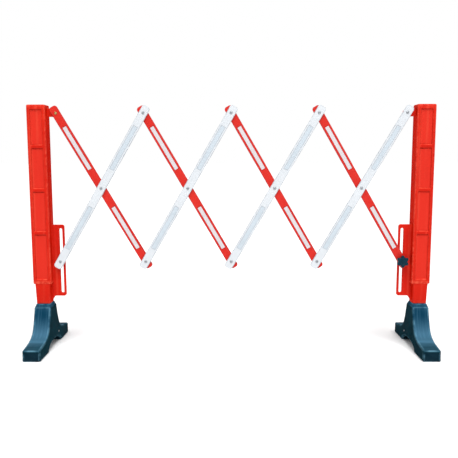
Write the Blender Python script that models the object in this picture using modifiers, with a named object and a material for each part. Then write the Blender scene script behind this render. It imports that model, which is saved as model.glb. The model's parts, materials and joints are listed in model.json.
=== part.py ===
"""An expanding lattice barrier: two posts on swivelling feet, joined by a scissor lattice of slats.

The frame is in metres, with +X along the barrier, -Y towards its front and +Z up. The origin is
on the ground, midway between the posts. The lattice stands part open, as it is used.
"""

import math

import bmesh
import bpy
from mathutils import Matrix, Vector
from mathutils.geometry import interpolate_bezier

# Clearance between two pieces that touch, and the reach of a cutter past the wall it cuts.
GAP = 0.0003
REACH = 0.002

# Fineness of the curves, and the limits under which points merge and faces count as flat.
CORNER_STEPS = 4
HOLE_SIDES = 16
TURNED_SIDES = 16
WIDE_SIDES = 32
MERGE_DISTANCE = 0.000001
FLAT_DEGREES = 0.5

# Posts. Every z is a height above the ground.
POST_X = 0.782
POST_WIDTH = 0.076
POST_DEPTH = 0.065
POST_TOP = 1.004
POST_BASE = 0.274
POST_ROUNDING = 0.006
POST_WALL = 0.0035
PANEL_WIDTH = 0.051
PANEL_DEPTH = 0.0045
PANEL_SLOPE = 0.003
PANEL_TOP = 0.986
PANEL_BASE = 0.2915
FIRST_RIB_TOP = 0.843
RIB_PITCH = 0.1755
RIB_HEIGHT = 0.012
RIB_COUNT = 3
NECK_WIDTH = 0.056
NECK_DEPTH = 0.056
NECK_FLARE = 0.006
NECK_BASE = 0.190
NECK_ROUNDING = 0.005
SPIGOT_RADIUS = 0.018
SPIGOT_BASE = 0.120

# Slotted bracket and lug, which are moulded with each post. Their x is measured from its axis.
PIVOT_OFFSET = 0.076
PLATE_THICKNESS = 0.008
BRACKET_EDGE = 0.0910
BRACKET_TOP = 0.518
BRACKET_BASE = 0.218
BRACKET_CORNER = 0.009
GUSSET_TOP_X = 0.044
GUSSET_BASE_X = 0.029
PLATE_ROOT_X = 0.020
SLOT_WIDTH = 0.0124
SLOT_TOP = 0.503
SLOT_BASE = 0.2315
LUG_RADIUS = 0.0138
LUG_ROOT_HEIGHT = 0.0230

# Lattice. A slat's length runs between its end pivots.
CELL_COUNT = 4
CELL_WIDTH = 0.353
TOP_PIVOT_Z = 0.9705
SLAT_SPAN = 0.700
SLAT_END = 0.030
SLAT_WIDTH = 0.034
SLAT_THICKNESS = 0.008
SLAT_CORNER = 0.011
SLAT_EDGE = 0.0012
PIVOT_HOLE_RADIUS = 0.0043
TAPE_LENGTH = 0.196
TAPE_WIDTH = 0.0155
TAPE_THICKNESS = 0.0004
TAPE_OFFSET = 0.188
POCKET_LENGTH = 0.203
POCKET_WIDTH = 0.021
POCKET_DEPTH = 0.0008

# Layers, from the bracket plates forward: a gap, the red slats, a gap, the white slats.
PLATE_GAP = 0.0025
SLAT_GAP = 0.0015
PLATE_FRONT = -PLATE_THICKNESS / 2
RED_BACK = PLATE_FRONT - PLATE_GAP
RED_FRONT = RED_BACK - SLAT_THICKNESS
WHITE_BACK = RED_FRONT - SLAT_GAP
WHITE_FRONT = WHITE_BACK - SLAT_THICKNESS

# Rivets, washers and spacers. A head's rim is a part of its height, its crown of its radius.
RIVET_RADIUS = 0.0040
HEAD_RADIUS = 0.0052
HEAD_HEIGHT = 0.0022
HEAD_RIM = 0.4
HEAD_CROWN = 0.6
COLLAR_RADIUS = 0.0080
WASHER_RADIUS = 0.0085
WASHER_THICKNESS = 0.0018
BUSH_RADIUS = 0.0085

# Sliders, which run up and down in the bracket slots.
SLIDER_HEIGHT = 0.020
SLIDER_FLANGE_WIDTH = 0.0165
SLIDER_FLANGE_HEIGHT = 0.024
SLIDER_FLANGE_CORNER = 0.004
FLANGE_THICKNESS = 0.0018

# Clamping knob and its bolt.
BOLT_RADIUS = 0.0039
BOLT_HEAD_RADIUS = 0.0075
BOLT_HEAD_HEIGHT = 0.005
BOLT_CHAMFER = 0.0008
BOLT_ENTRY = 0.0078
CLAMP_WASHER_RADIUS = 0.0105
KNOB_RADIUS = 0.0222
KNOB_LOBE = 0.0034
KNOB_LOBES = 6
KNOB_THICKNESS = 0.013
KNOB_HUB_RADIUS = 0.0115
KNOB_HUB_HEIGHT = 0.005
KNOB_BORE_RADIUS = 0.0043
KNOB_BORE_END = 0.0032
KNOB_LOBE_STEPS = 10
KNOB_EDGE = 0.0025

# Feet. Each is an arch with two toes, across the barrier.
FOOT_LENGTH = 0.404
FOOT_WIDTH = 0.071
FOOT_DRAFT = 0.0025
FOOT_TOP = 0.176
FOOT_TOP_LENGTH = 0.082
FOOT_ROUNDING = 0.003
LEG_HANDLE_TOP = (0.0294, -0.1008)
LEG_HANDLE_BASE = (-0.0528, 0.0154)
TOE_HEIGHT = 0.045
TOE_ROOT_HEIGHT = 0.055
TOE_ROOT_Y = 0.130
TOE_INNER_Y = 0.0885
ARCH_HEIGHT = 0.033
COLLAR_TOP = 0.1895
COLLAR_WIDTH = 0.056
COLLAR_LENGTH = 0.066
COLLAR_FLARE = 0.011
SOCKET_RADIUS = 0.0185
SOCKET_BASE = 0.1165
SWIVEL_BOLT_RADIUS = 0.0050
SWIVEL_HOLE_RADIUS = 0.0054
SWIVEL_HEAD_RADIUS = 0.0085
SWIVEL_HEAD_HEIGHT = 0.0064
SWIVEL_WASHER_RADIUS = 0.0130
SWIVEL_WASHER_THICKNESS = 0.002
SWIVEL_BOLT_TOP = 0.176
RECESS_RADIUS = 0.0150
RECESS_TOP = 0.066
SIDE_SCREW_Y = 0.053
SIDE_SCREW_Z = 0.050
SIDE_SCREW_RADIUS = 0.0035
SIDE_SCREW_END = 0.020
SIDE_SCREW_HEAD = 0.0019

# Values that follow from the ones above.
LEAN = math.asin(CELL_WIDTH / SLAT_SPAN)
BOTTOM_PIVOT_Z = TOP_PIVOT_Z - SLAT_SPAN * math.cos(LEAN)
CROSSING_Z = (TOP_PIVOT_Z + BOTTOM_PIVOT_Z) / 2
FIRST_PIVOT_X = PIVOT_OFFSET - POST_X

PARTS = "expanding_lattice_barrier"
CUTTERS = "cutters"


# ---- scene and materials ---------------------------------------------------------------------
def clear_scene():
    for thing in list(bpy.data.objects):
        bpy.data.objects.remove(thing, do_unlink=True)


def collection(name):
    found = bpy.data.collections.get(name)
    if found is None:
        found = bpy.data.collections.new(name)
        bpy.context.scene.collection.children.link(found)
    return found


def material(name, colour, roughness, metallic=0.0):
    made = bpy.data.materials.new(name)
    made.use_nodes = True
    shader = made.node_tree.nodes["Principled BSDF"]
    shader.inputs["Base Color"].default_value = (*colour, 1.0)
    shader.inputs["Roughness"].default_value = roughness
    shader.inputs["Metallic"].default_value = metallic
    made.diffuse_color = (*colour, 1.0)
    return made


FINISHES = {
    "red_plastic": ((0.78, 0.035, 0.012), 0.42, 0.0),
    "red_slat": ((0.80, 0.045, 0.022), 0.40, 0.0),
    "white_slat": ((0.86, 0.89, 0.92), 0.38, 0.0),
    "tape": ((0.72, 0.76, 0.82), 0.30, 0.0),
    "foot": ((0.020, 0.085, 0.120), 0.50, 0.0),
    "knob": ((0.010, 0.022, 0.045), 0.45, 0.0),
    "steel": ((0.52, 0.53, 0.55), 0.35, 1.0),
    "brass": ((0.60, 0.45, 0.20), 0.35, 1.0),
    "nylon": ((0.05, 0.05, 0.055), 0.55, 0.0),
}


def paint(thing, finish):
    """Gives the piece a material of its own, in one of the finishes."""
    colour, roughness, metallic = FINISHES[finish]
    thing.data.materials.clear()
    thing.data.materials.append(material(thing.name, colour, roughness, metallic))


# ---- shapes ----------------------------------------------------------------------------------
def add_object(name, mesh, group=PARTS):
    made = bpy.data.objects.new(name, mesh)
    collection(group).objects.link(made)
    return made


def mesh_of(build):
    """A mesh from a bmesh, which is freed."""
    mesh = bpy.data.meshes.new("shape")
    build.to_mesh(mesh)
    build.free()
    return mesh


def box_mesh(low, high):
    build = bmesh.new()
    bmesh.ops.create_cube(build, size=1.0)
    low, high = Vector(low), Vector(high)
    size = high - low
    for vert in build.verts:
        vert.co = Vector(a * b for a, b in zip(vert.co, size)) + (low + high) / 2
    return mesh_of(build)


def cylinder_mesh(radius, low, high, axis="Z", sides=WIDE_SIDES):
    """A cylinder between two places on one axis."""
    build = bmesh.new()
    bmesh.ops.create_cone(
        build, cap_ends=True, segments=sides, radius1=radius, radius2=radius, depth=high - low
    )
    bmesh.ops.translate(build, vec=(0, 0, (low + high) / 2), verts=build.verts)
    if axis == "Y":
        bmesh.ops.rotate(build, matrix=Matrix.Rotation(-math.pi / 2, 3, "X"), verts=build.verts)
    if axis == "X":
        bmesh.ops.rotate(build, matrix=Matrix.Rotation(math.pi / 2, 3, "Y"), verts=build.verts)
    return mesh_of(build)


def arc(centre, radius, start, end, steps):
    """Points along a circle, with angles in degrees."""
    points = []
    for step in range(steps + 1):
        angle = math.radians(start + (end - start) * step / steps)
        points.append((centre[0] + radius * math.cos(angle), centre[1] + radius * math.sin(angle)))
    return points


def circle(centre, radius, sides):
    return arc(centre, radius, 0, 360, sides)[:-1]


def rounded_rectangle(width, height, radius, steps, centre=(0.0, 0.0)):
    across, up = width / 2 - radius, height / 2 - radius
    corners = ((across, up), (-across, up), (-across, -up), (across, -up))
    points = []
    for number, (x, z) in enumerate(corners):
        corner = (centre[0] + x, centre[1] + z)
        points += arc(corner, radius, number * 90, number * 90 + 90, steps)
    return points


def plate_mesh(loops, back, front):
    """A flat outline in x and z, with any holes in it, from y = back forward to y = front."""
    outline = bpy.data.curves.new("outline", "CURVE")
    outline.dimensions = "2D"
    outline.fill_mode = "BOTH"
    outline.extrude = (back - front) / 2
    for loop in loops:
        spline = outline.splines.new("POLY")
        spline.points.add(len(loop) - 1)
        for point, (x, z) in zip(spline.points, loop):
            point.co = (x, z, 0, 1)
        spline.use_cyclic_u = True
    holder = add_object("outline", outline, CUTTERS)
    upright = Matrix.Translation((0, (back + front) / 2, 0)) @ Matrix.Rotation(math.pi / 2, 4, "X")
    return evaluated_mesh(holder, upright)


def evaluated_mesh(thing, place=Matrix.Identity(4)):
    """The mesh of an object with its modifiers done. The object is removed."""
    bpy.context.view_layer.update()
    graph = bpy.context.evaluated_depsgraph_get()
    mesh = bpy.data.meshes.new_from_object(thing.evaluated_get(graph))
    build = bmesh.new()
    build.from_mesh(mesh)
    bmesh.ops.remove_doubles(build, verts=build.verts, dist=MERGE_DISTANCE)
    bmesh.ops.dissolve_limit(
        build, angle_limit=math.radians(FLAT_DEGREES), verts=build.verts, edges=build.edges
    )
    build.transform(place)
    build.to_mesh(mesh)
    build.free()
    bpy.data.objects.remove(thing, do_unlink=True)
    return mesh


def turned_mesh(profile):
    """A turned piece about the y axis. The profile's pairs are a radius and a y, back to front."""
    build = bmesh.new()
    verts = [build.verts.new((radius, 0, -y)) for radius, y in reversed(profile)]
    for first, second in zip(verts, verts[1:]):
        build.edges.new((first, second))
    holder = add_object("profile", mesh_of(build), CUTTERS)
    screw = holder.modifiers.new("turn", "SCREW")
    screw.steps = TURNED_SIDES
    screw.render_steps = TURNED_SIDES
    screw.use_merge_vertices = True
    screw.merge_threshold = MERGE_DISTANCE
    return evaluated_mesh(holder, Matrix.Rotation(math.pi / 2, 4, "X"))


def bevel(thing, width, segments=2, angle=40):
    made = thing.modifiers.new("rounding", "BEVEL")
    made.width = width
    made.segments = segments
    made.limit_method = "ANGLE"
    made.angle_limit = math.radians(angle)
    return made


def combine(thing, mesh, operation):
    """Cuts the mesh from an object, or joins it to one."""
    other = add_object(f"{thing.name}_{operation.lower()}", mesh, CUTTERS)
    other.hide_render = True
    other.display_type = "WIRE"
    other.matrix_world = thing.matrix_world
    made = thing.modifiers.new(operation.lower(), "BOOLEAN")
    made.operation = operation
    made.solver = "EXACT"
    made.object = other
    return other


def smooth(mesh, angle=35):
    mesh.shade_smooth()
    mesh.set_sharp_from_angle(angle=math.radians(angle))


def frozen(thing):
    """The final mesh of an object that others copy. Its cutters go with it."""
    others = [made.object for made in thing.modifiers if made.type == "BOOLEAN"]
    mesh = evaluated_mesh(thing)
    for other in others:
        bpy.data.objects.remove(other, do_unlink=True)
    return mesh


def joined_mesh(meshes):
    """Several separate solids as one mesh, for a cutter."""
    build = bmesh.new()
    for mesh in meshes:
        build.from_mesh(mesh)
    return mesh_of(build)


def mirrored_mesh(mesh):
    """The same shape, left to right."""
    copy = mesh.copy()
    copy.transform(Matrix.Scale(-1, 4, (1, 0, 0)))
    copy.flip_normals()
    return copy


def piece(name, mesh, finish, location, lean=0.0):
    """A named piece, turned about the y axis by its lean."""
    made = add_object(name, mesh)
    made.location = location
    made.rotation_euler = (0, lean, 0)
    smooth(made.data)
    paint(made, finish)
    return made


def body(name, location, members):
    """An empty on a joint's axis, which carries the pieces that move together."""
    empty = bpy.data.objects.new(name, None)
    empty.empty_display_size = 0.02
    empty.location = location
    collection(PARTS).objects.link(empty)
    bpy.context.view_layer.update()
    for member in members:
        member.parent = empty
        member.matrix_parent_inverse = empty.matrix_world.inverted()
    return empty


# ---- posts -----------------------------------------------------------------------------------
def panel_mesh():
    """The four sunk panels of a post's front and back, as one cutter with sloping sides."""
    tops = [PANEL_TOP]
    bases = []
    for rib in range(RIB_COUNT):
        rib_top = FIRST_RIB_TOP - rib * RIB_PITCH
        bases.append(rib_top)
        tops.append(rib_top - RIB_HEIGHT)
    bases.append(PANEL_BASE)
    cuts = []
    for top, base in zip(tops, bases):
        for side in (-1, 1):
            cuts.append(sloped_box(base, top, side))
    return joined_mesh(cuts)


def sloped_box(base, top, side):
    """A box that sinks into the face at y = side, and narrows as it goes in."""
    face = side * POST_DEPTH / 2
    build = bmesh.new()
    bmesh.ops.create_cube(build, size=1.0)
    middle = (base + top) / 2
    for vert in build.verts:
        outer = vert.co.y * side > 0
        inset = 0.0 if outer else PANEL_SLOPE
        half_width = PANEL_WIDTH / 2 - inset
        half_height = (top - base) / 2 - inset
        vert.co.x = math.copysign(half_width, vert.co.x)
        vert.co.z = middle + math.copysign(half_height, vert.co.z)
        vert.co.y = face if outer else face - side * PANEL_DEPTH
    straight = [face_ for face_ in build.faces if face_.normal.y * side > 0.9]
    out = bmesh.ops.extrude_face_region(build, geom=straight)
    moved = [item for item in out["geom"] if isinstance(item, bmesh.types.BMVert)]
    bmesh.ops.translate(build, vec=(0, side * REACH, 0), verts=moved)
    bmesh.ops.delete(build, geom=straight, context="FACES")
    bmesh.ops.recalc_face_normals(build, faces=build.faces)
    return mesh_of(build)


def bracket_mesh():
    """The slotted bracket with its gusset, in x from the post's axis."""
    high = BRACKET_TOP - BRACKET_CORNER
    low = BRACKET_BASE + BRACKET_CORNER
    edge = BRACKET_EDGE - BRACKET_CORNER
    outline = [
        (PLATE_ROOT_X, NECK_BASE + REACH),
        (GUSSET_BASE_X, NECK_BASE + REACH),
        (GUSSET_TOP_X, BRACKET_BASE),
    ]
    outline += arc((edge, low), BRACKET_CORNER, -90, 0, CORNER_STEPS)
    outline += arc((edge, high), BRACKET_CORNER, 0, 90, CORNER_STEPS)
    outline.append((PLATE_ROOT_X, BRACKET_TOP))
    middle = (SLOT_TOP + SLOT_BASE) / 2
    height = SLOT_TOP - SLOT_BASE
    slot = rounded_rectangle(
        SLOT_WIDTH, height, SLOT_WIDTH / 2, CORNER_STEPS, (PIVOT_OFFSET, middle)
    )
    return plate_mesh([outline, slot], PLATE_THICKNESS / 2, PLATE_FRONT)


def lug_mesh():
    """The lug that carries the lattice's top pivot. It is taller at the post."""
    pivot = (PIVOT_OFFSET, TOP_PIVOT_Z)
    outline = arc(pivot, LUG_RADIUS, -90, 75, 2 * CORNER_STEPS)
    outline.append((PLATE_ROOT_X, TOP_PIVOT_Z + LUG_ROOT_HEIGHT))
    outline.append((PLATE_ROOT_X, TOP_PIVOT_Z - LUG_RADIUS))
    hole = circle(pivot, PIVOT_HOLE_RADIUS, HOLE_SIDES)
    return plate_mesh([outline, hole], PLATE_THICKNESS / 2, PLATE_FRONT)


def neck_mesh():
    """The neck under the post's body. It flares towards the body."""
    holder = add_object(
        "neck",
        box_mesh(
            (-NECK_WIDTH / 2, -NECK_DEPTH / 2, NECK_BASE),
            (NECK_WIDTH / 2, NECK_DEPTH / 2, POST_BASE + 2 * POST_ROUNDING),
        ),
        CUTTERS,
    )
    for vert in holder.data.vertices:
        if vert.co.z > POST_BASE:
            vert.co.x += math.copysign(NECK_FLARE / 2, vert.co.x)
            vert.co.y += math.copysign(NECK_FLARE / 2, vert.co.y)
    bevel(holder, NECK_ROUNDING, 2)
    return evaluated_mesh(holder)


def post_mesh():
    """The left post: body, neck, spigot, bracket and lug in one hollow moulding."""
    half_width, half_depth = POST_WIDTH / 2, POST_DEPTH / 2
    post = add_object(
        "post",
        box_mesh((-half_width, -half_depth, POST_BASE), (half_width, half_depth, POST_TOP)),
        CUTTERS,
    )
    bevel(post, POST_ROUNDING, 3)
    combine(post, neck_mesh(), "UNION")
    combine(post, cylinder_mesh(SPIGOT_RADIUS, SPIGOT_BASE, NECK_BASE + 2 * REACH), "UNION")
    combine(post, bracket_mesh(), "UNION")
    combine(post, lug_mesh(), "UNION")
    combine(post, panel_mesh(), "DIFFERENCE")
    hollow_x = half_width - POST_WALL
    hollow_y = half_depth - PANEL_DEPTH - POST_WALL
    hollow_base = POST_BASE + POST_WALL
    combine(
        post,
        box_mesh((-hollow_x, -hollow_y, hollow_base), (hollow_x, hollow_y, POST_TOP - POST_WALL)),
        "DIFFERENCE",
    )
    neck_x = NECK_WIDTH / 2 - POST_WALL
    neck_y = NECK_DEPTH / 2 - POST_WALL
    neck_base = NECK_BASE + POST_WALL
    combine(
        post,
        box_mesh((-neck_x, -neck_y, neck_base), (neck_x, neck_y, hollow_base + REACH)),
        "DIFFERENCE",
    )
    combine(
        post,
        cylinder_mesh(
            SWIVEL_HOLE_RADIUS, SPIGOT_BASE - REACH, neck_base + REACH, sides=HOLE_SIDES
        ),
        "DIFFERENCE",
    )
    return frozen(post)


# ---- feet ------------------------------------------------------------------------------------
def foot_outline():
    """Half of the foot's side view, from the arch's crown outwards, as pairs of y and z."""
    steps = 2 * CORNER_STEPS
    points = []
    for step in range(steps):
        angle = math.pi / 2 * step / steps
        points.append((TOE_INNER_Y * math.sin(angle), ARCH_HEIGHT * math.cos(angle)))
    end = FOOT_LENGTH / 2
    points += [(TOE_INNER_Y, 0.0), (end, 0.0), (end, TOE_HEIGHT)]
    points += leg_curve()
    return points


def leg_curve():
    """The hollow sweep from the toe's root up to the foot's top."""
    base = Vector((TOE_ROOT_Y, TOE_ROOT_HEIGHT))
    top = Vector((FOOT_TOP_LENGTH / 2, FOOT_TOP))
    base_handle = base + Vector(LEG_HANDLE_BASE)
    top_handle = top + Vector(LEG_HANDLE_TOP)
    curve = interpolate_bezier(base, base_handle, top_handle, top, 3 * CORNER_STEPS)
    return [tuple(point) for point in curve]


def collar_mesh():
    """The foot's collar, which narrows from the leg's top to the neck."""
    bury = 0.3 * COLLAR_FLARE
    rise = COLLAR_TOP - FOOT_TOP
    low = (-COLLAR_WIDTH / 2, -COLLAR_LENGTH / 2, FOOT_TOP - bury)
    collar = box_mesh(low, (COLLAR_WIDTH / 2, COLLAR_LENGTH / 2, COLLAR_TOP))
    for vert in collar.vertices:
        spread = COLLAR_FLARE / 2 * (COLLAR_TOP - vert.co.z) / rise
        vert.co.x += math.copysign(spread, vert.co.x)
        vert.co.y += math.copysign(spread, vert.co.y)
    return collar


def foot_mesh():
    """An arched foot with two toes, a collar and the socket that the post turns in."""
    half = foot_outline()
    outline = half + [(-y, z) for y, z in reversed(half[1:])]
    mesh = plate_mesh([outline], FOOT_WIDTH / 2, -FOOT_WIDTH / 2)
    mesh.transform(Matrix.Rotation(math.pi / 2, 4, "Z"))
    for vert in mesh.vertices:
        vert.co.x *= 1 - FOOT_DRAFT / FOOT_WIDTH * vert.co.z / FOOT_TOP
    foot = add_object("foot", mesh, CUTTERS)
    bevel(foot, FOOT_ROUNDING, 2, 50)
    combine(foot, collar_mesh(), "UNION")
    combine(foot, cylinder_mesh(SOCKET_RADIUS, SOCKET_BASE, COLLAR_TOP + REACH), "DIFFERENCE")
    combine(
        foot,
        cylinder_mesh(
            SWIVEL_HOLE_RADIUS, RECESS_TOP - REACH, SOCKET_BASE + REACH, sides=HOLE_SIDES
        ),
        "DIFFERENCE",
    )
    combine(foot, cylinder_mesh(RECESS_RADIUS, -REACH, RECESS_TOP), "DIFFERENCE")
    screw_hole = cylinder_mesh(
        SIDE_SCREW_RADIUS / 2 + GAP, SIDE_SCREW_END - REACH, FOOT_WIDTH / 2 + REACH, "X", HOLE_SIDES
    )
    screw_hole.transform(Matrix.Translation((0, SIDE_SCREW_Y, SIDE_SCREW_Z)))
    combine(foot, screw_hole, "DIFFERENCE")
    return frozen(foot)


def side_screw_mesh():
    """A small pan-head screw along +x, measured from the foot's middle plane."""
    face = FOOT_WIDTH / 2 * (1 - FOOT_DRAFT / FOOT_WIDTH * SIDE_SCREW_Z / FOOT_TOP)
    seat = face + 2 * GAP
    radius = SIDE_SCREW_RADIUS
    rim = seat + 0.4 * SIDE_SCREW_HEAD
    shoulder = seat + 0.85 * SIDE_SCREW_HEAD
    profile = [(0, SIDE_SCREW_END), (radius / 2, SIDE_SCREW_END), (radius / 2, seat)]
    profile += [(radius, seat), (radius, rim), (0.7 * radius, shoulder)]
    profile.append((0, seat + SIDE_SCREW_HEAD))
    mesh = turned_mesh([(r, -y) for r, y in profile])
    mesh.transform(Matrix.Rotation(math.pi / 2, 4, "Z"))
    return mesh


def swivel_bolt_mesh():
    """A hexagon-head bolt, which holds the foot to the post from below."""
    head_top = RECESS_TOP - SWIVEL_WASHER_THICKNESS - 2 * GAP
    head = add_object(
        "head",
        cylinder_mesh(SWIVEL_HEAD_RADIUS, head_top - SWIVEL_HEAD_HEIGHT, head_top, sides=6),
        CUTTERS,
    )
    shank = cylinder_mesh(
        SWIVEL_BOLT_RADIUS, head_top - REACH, SWIVEL_BOLT_TOP, sides=TURNED_SIDES
    )
    combine(head, shank, "UNION")
    return frozen(head)


def ring_mesh(inner, outer, low, high, axis="Y"):
    """A washer or bush between two places on its axis."""
    rim = circle((0, 0), outer, TURNED_SIDES)
    mesh = plate_mesh([rim, circle((0, 0), inner, HOLE_SIDES)], high, low)
    if axis == "Z":
        mesh.transform(Matrix.Rotation(math.pi / 2, 4, "X"))
    return mesh


# ---- lattice ---------------------------------------------------------------------------------
def slat_mesh():
    """A slat along z with its middle pivot at the origin, and a pocket for each tape."""
    outline = rounded_rectangle(
        SLAT_WIDTH, SLAT_SPAN + 2 * SLAT_END, SLAT_CORNER, CORNER_STEPS
    )
    half = SLAT_THICKNESS / 2
    slat = add_object("slat", plate_mesh([outline], half, -half), CUTTERS)
    bevel(slat, SLAT_EDGE, 1, 60)
    cuts = []
    for place in (-SLAT_SPAN / 2, 0, SLAT_SPAN / 2):
        hole = cylinder_mesh(PIVOT_HOLE_RADIUS, -half - REACH, half + REACH, "Y", HOLE_SIDES)
        hole.transform(Matrix.Translation((0, 0, place)))
        cuts.append(hole)
    for place in (-TAPE_OFFSET, TAPE_OFFSET):
        for side in (-1, 1):
            cuts.append(pocket_mesh(place, side))
    combine(slat, joined_mesh(cuts), "DIFFERENCE")
    return frozen(slat)


def pocket_mesh(place, side):
    floor = side * (SLAT_THICKNESS / 2 - POCKET_DEPTH)
    open_side = side * (SLAT_THICKNESS / 2 + REACH)
    low_y, high_y = sorted((floor, open_side))
    return box_mesh(
        (-POCKET_WIDTH / 2, low_y, place - POCKET_LENGTH / 2),
        (POCKET_WIDTH / 2, high_y, place + POCKET_LENGTH / 2),
    )


def tape_mesh(place):
    """A reflective tape on the floor of a slat's front pocket."""
    back = POCKET_DEPTH - SLAT_THICKNESS / 2 - GAP
    return box_mesh(
        (-TAPE_WIDTH / 2, back - TAPE_THICKNESS, place - TAPE_LENGTH / 2),
        (TAPE_WIDTH / 2, back, place + TAPE_LENGTH / 2),
    )


def rivet_mesh(back, front, collar=None):
    """A rivet with a head at each end, through what lies from back to front. A collar is a pair."""
    seat_back, seat_front = back + GAP, front - GAP
    shoulder = HEAD_HEIGHT * HEAD_RIM
    crown = HEAD_RADIUS * HEAD_CROWN
    profile = [(0, seat_back + HEAD_HEIGHT), (crown, seat_back + HEAD_HEIGHT)]
    profile += [(HEAD_RADIUS, seat_back + shoulder), (HEAD_RADIUS, seat_back)]
    profile.append((RIVET_RADIUS, seat_back))
    if collar:
        profile += [(RIVET_RADIUS, collar[0]), (COLLAR_RADIUS, collar[0])]
        profile += [(COLLAR_RADIUS, collar[1]), (RIVET_RADIUS, collar[1])]
    profile.append((RIVET_RADIUS, seat_front))
    profile += [(HEAD_RADIUS, seat_front), (HEAD_RADIUS, seat_front - shoulder)]
    profile += [(crown, seat_front - HEAD_HEIGHT), (0, seat_front - HEAD_HEIGHT)]
    return turned_mesh(profile)


def slat_pieces(colour, number, mesh, centre_x, lean, layer):
    """A slat and its two tapes."""
    name = f"{colour}_slat_{number}"
    centre = (centre_x, layer, CROSSING_Z)
    pieces = [piece(name, mesh.copy(), f"{colour}_slat", centre, lean)]
    for end, place in (("lower", -TAPE_OFFSET), ("upper", TAPE_OFFSET)):
        tape = tape_mesh(place)
        pieces.append(piece(f"{colour}_tape_{number}_{end}", tape, "tape", centre, lean))
    return pieces


def lattice_rivet(name, x, z):
    """A rivet through a white slat and the red one behind it, with a collar between them."""
    mesh = rivet_mesh(RED_BACK, WHITE_FRONT, (RED_FRONT - GAP, WHITE_BACK + GAP))
    return piece(name, mesh, "steel", (x, 0, z))


def lattice():
    """The slats, tapes and rivets of the lattice, on an empty for each moving slat."""
    mesh = slat_mesh()
    red_layer = (RED_BACK + RED_FRONT) / 2
    white_layer = (WHITE_BACK + WHITE_FRONT) / 2
    for number in range(1, CELL_COUNT + 1):
        left_x = FIRST_PIVOT_X + (number - 1) * CELL_WIDTH
        middle_x = left_x + CELL_WIDTH / 2
        right_x = left_x + CELL_WIDTH
        red = slat_pieces("red", number, mesh, middle_x, -LEAN, red_layer)
        white = slat_pieces("white", number, mesh, middle_x, LEAN, white_layer)
        white.append(lattice_rivet(f"crossing_rivet_{number}", middle_x, CROSSING_Z))
        if number < CELL_COUNT:
            white.append(lattice_rivet(f"top_rivet_{number}", right_x, TOP_PIVOT_Z))
        if number > 1:
            white.append(lattice_rivet(f"bottom_rivet_{number - 1}", left_x, BOTTOM_PIVOT_Z))
        if number == CELL_COUNT:
            white += right_lug_pieces(right_x)
        body(f"red_slat_{number}_body", (left_x, red_layer, TOP_PIVOT_Z), red)
        body(f"white_slat_{number}_body", (middle_x, white_layer, CROSSING_Z), white)


# ---- what joins the lattice to the posts -------------------------------------------------------
def right_lug_pieces(x):
    """The long rivet through white slat 4 and the right lug, and the bush in the red layer."""
    bush = ring_mesh(PIVOT_HOLE_RADIUS, BUSH_RADIUS, WHITE_BACK + GAP, PLATE_FRONT - GAP)
    rivet = rivet_mesh(PLATE_THICKNESS / 2, WHITE_FRONT)
    return [
        piece("right_lug_bush", bush, "nylon", (x, 0, TOP_PIVOT_Z)),
        piece("right_lug_rivet", rivet, "steel", (x, 0, TOP_PIVOT_Z)),
    ]


def left_lug_pieces(x):
    """The rivet through the left lug and red slat 1, and the washer between them."""
    washer = ring_mesh(PIVOT_HOLE_RADIUS, WASHER_RADIUS, RED_BACK + GAP, PLATE_FRONT - GAP)
    rivet = rivet_mesh(PLATE_THICKNESS / 2, RED_FRONT)
    return [
        piece("left_lug_washer", washer, "nylon", (x, 0, TOP_PIVOT_Z)),
        piece("left_lug_rivet", rivet, "brass", (x, 0, TOP_PIVOT_Z)),
    ]


def slider_mesh():
    """A slider in a bracket slot, with a flange in front of the plate. Its bore is along y."""
    back = PLATE_THICKNESS / 2 - GAP
    seat = PLATE_FRONT - GAP
    width = SLOT_WIDTH - 2 * GAP
    block = plate_mesh(
        [rounded_rectangle(width, SLIDER_HEIGHT, width / 2, CORNER_STEPS)],
        back,
        seat - FLANGE_THICKNESS / 2,
    )
    flange_outline = rounded_rectangle(
        SLIDER_FLANGE_WIDTH, SLIDER_FLANGE_HEIGHT, SLIDER_FLANGE_CORNER, CORNER_STEPS
    )
    flange = plate_mesh([flange_outline], seat, seat - FLANGE_THICKNESS)
    slider = add_object("slider", block, CUTTERS)
    combine(slider, flange, "UNION")
    bore = cylinder_mesh(PIVOT_HOLE_RADIUS, seat - 2 * REACH, back + REACH, "Y", HOLE_SIDES)
    combine(slider, bore, "DIFFERENCE")
    return frozen(slider)


def left_slider_pieces():
    """What rides in the left slot, on the lower end of white slat 1."""
    place = (FIRST_PIVOT_X, 0, BOTTOM_PIVOT_Z)
    back = PLATE_THICKNESS / 2 + GAP
    flange_front = PLATE_FRONT - GAP - FLANGE_THICKNESS
    bush = ring_mesh(PIVOT_HOLE_RADIUS, BUSH_RADIUS, WHITE_BACK + GAP, flange_front - GAP)
    washer = ring_mesh(PIVOT_HOLE_RADIUS, WASHER_RADIUS, back, back + WASHER_THICKNESS)
    rivet = rivet_mesh(back + WASHER_THICKNESS, WHITE_FRONT)
    return [
        piece("left_slider", slider_mesh(), "nylon", place),
        piece("left_slider_bush", bush, "nylon", place),
        piece("left_slider_washer", washer, "steel", place),
        piece("left_slider_rivet", rivet, "steel", place),
    ]


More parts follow.
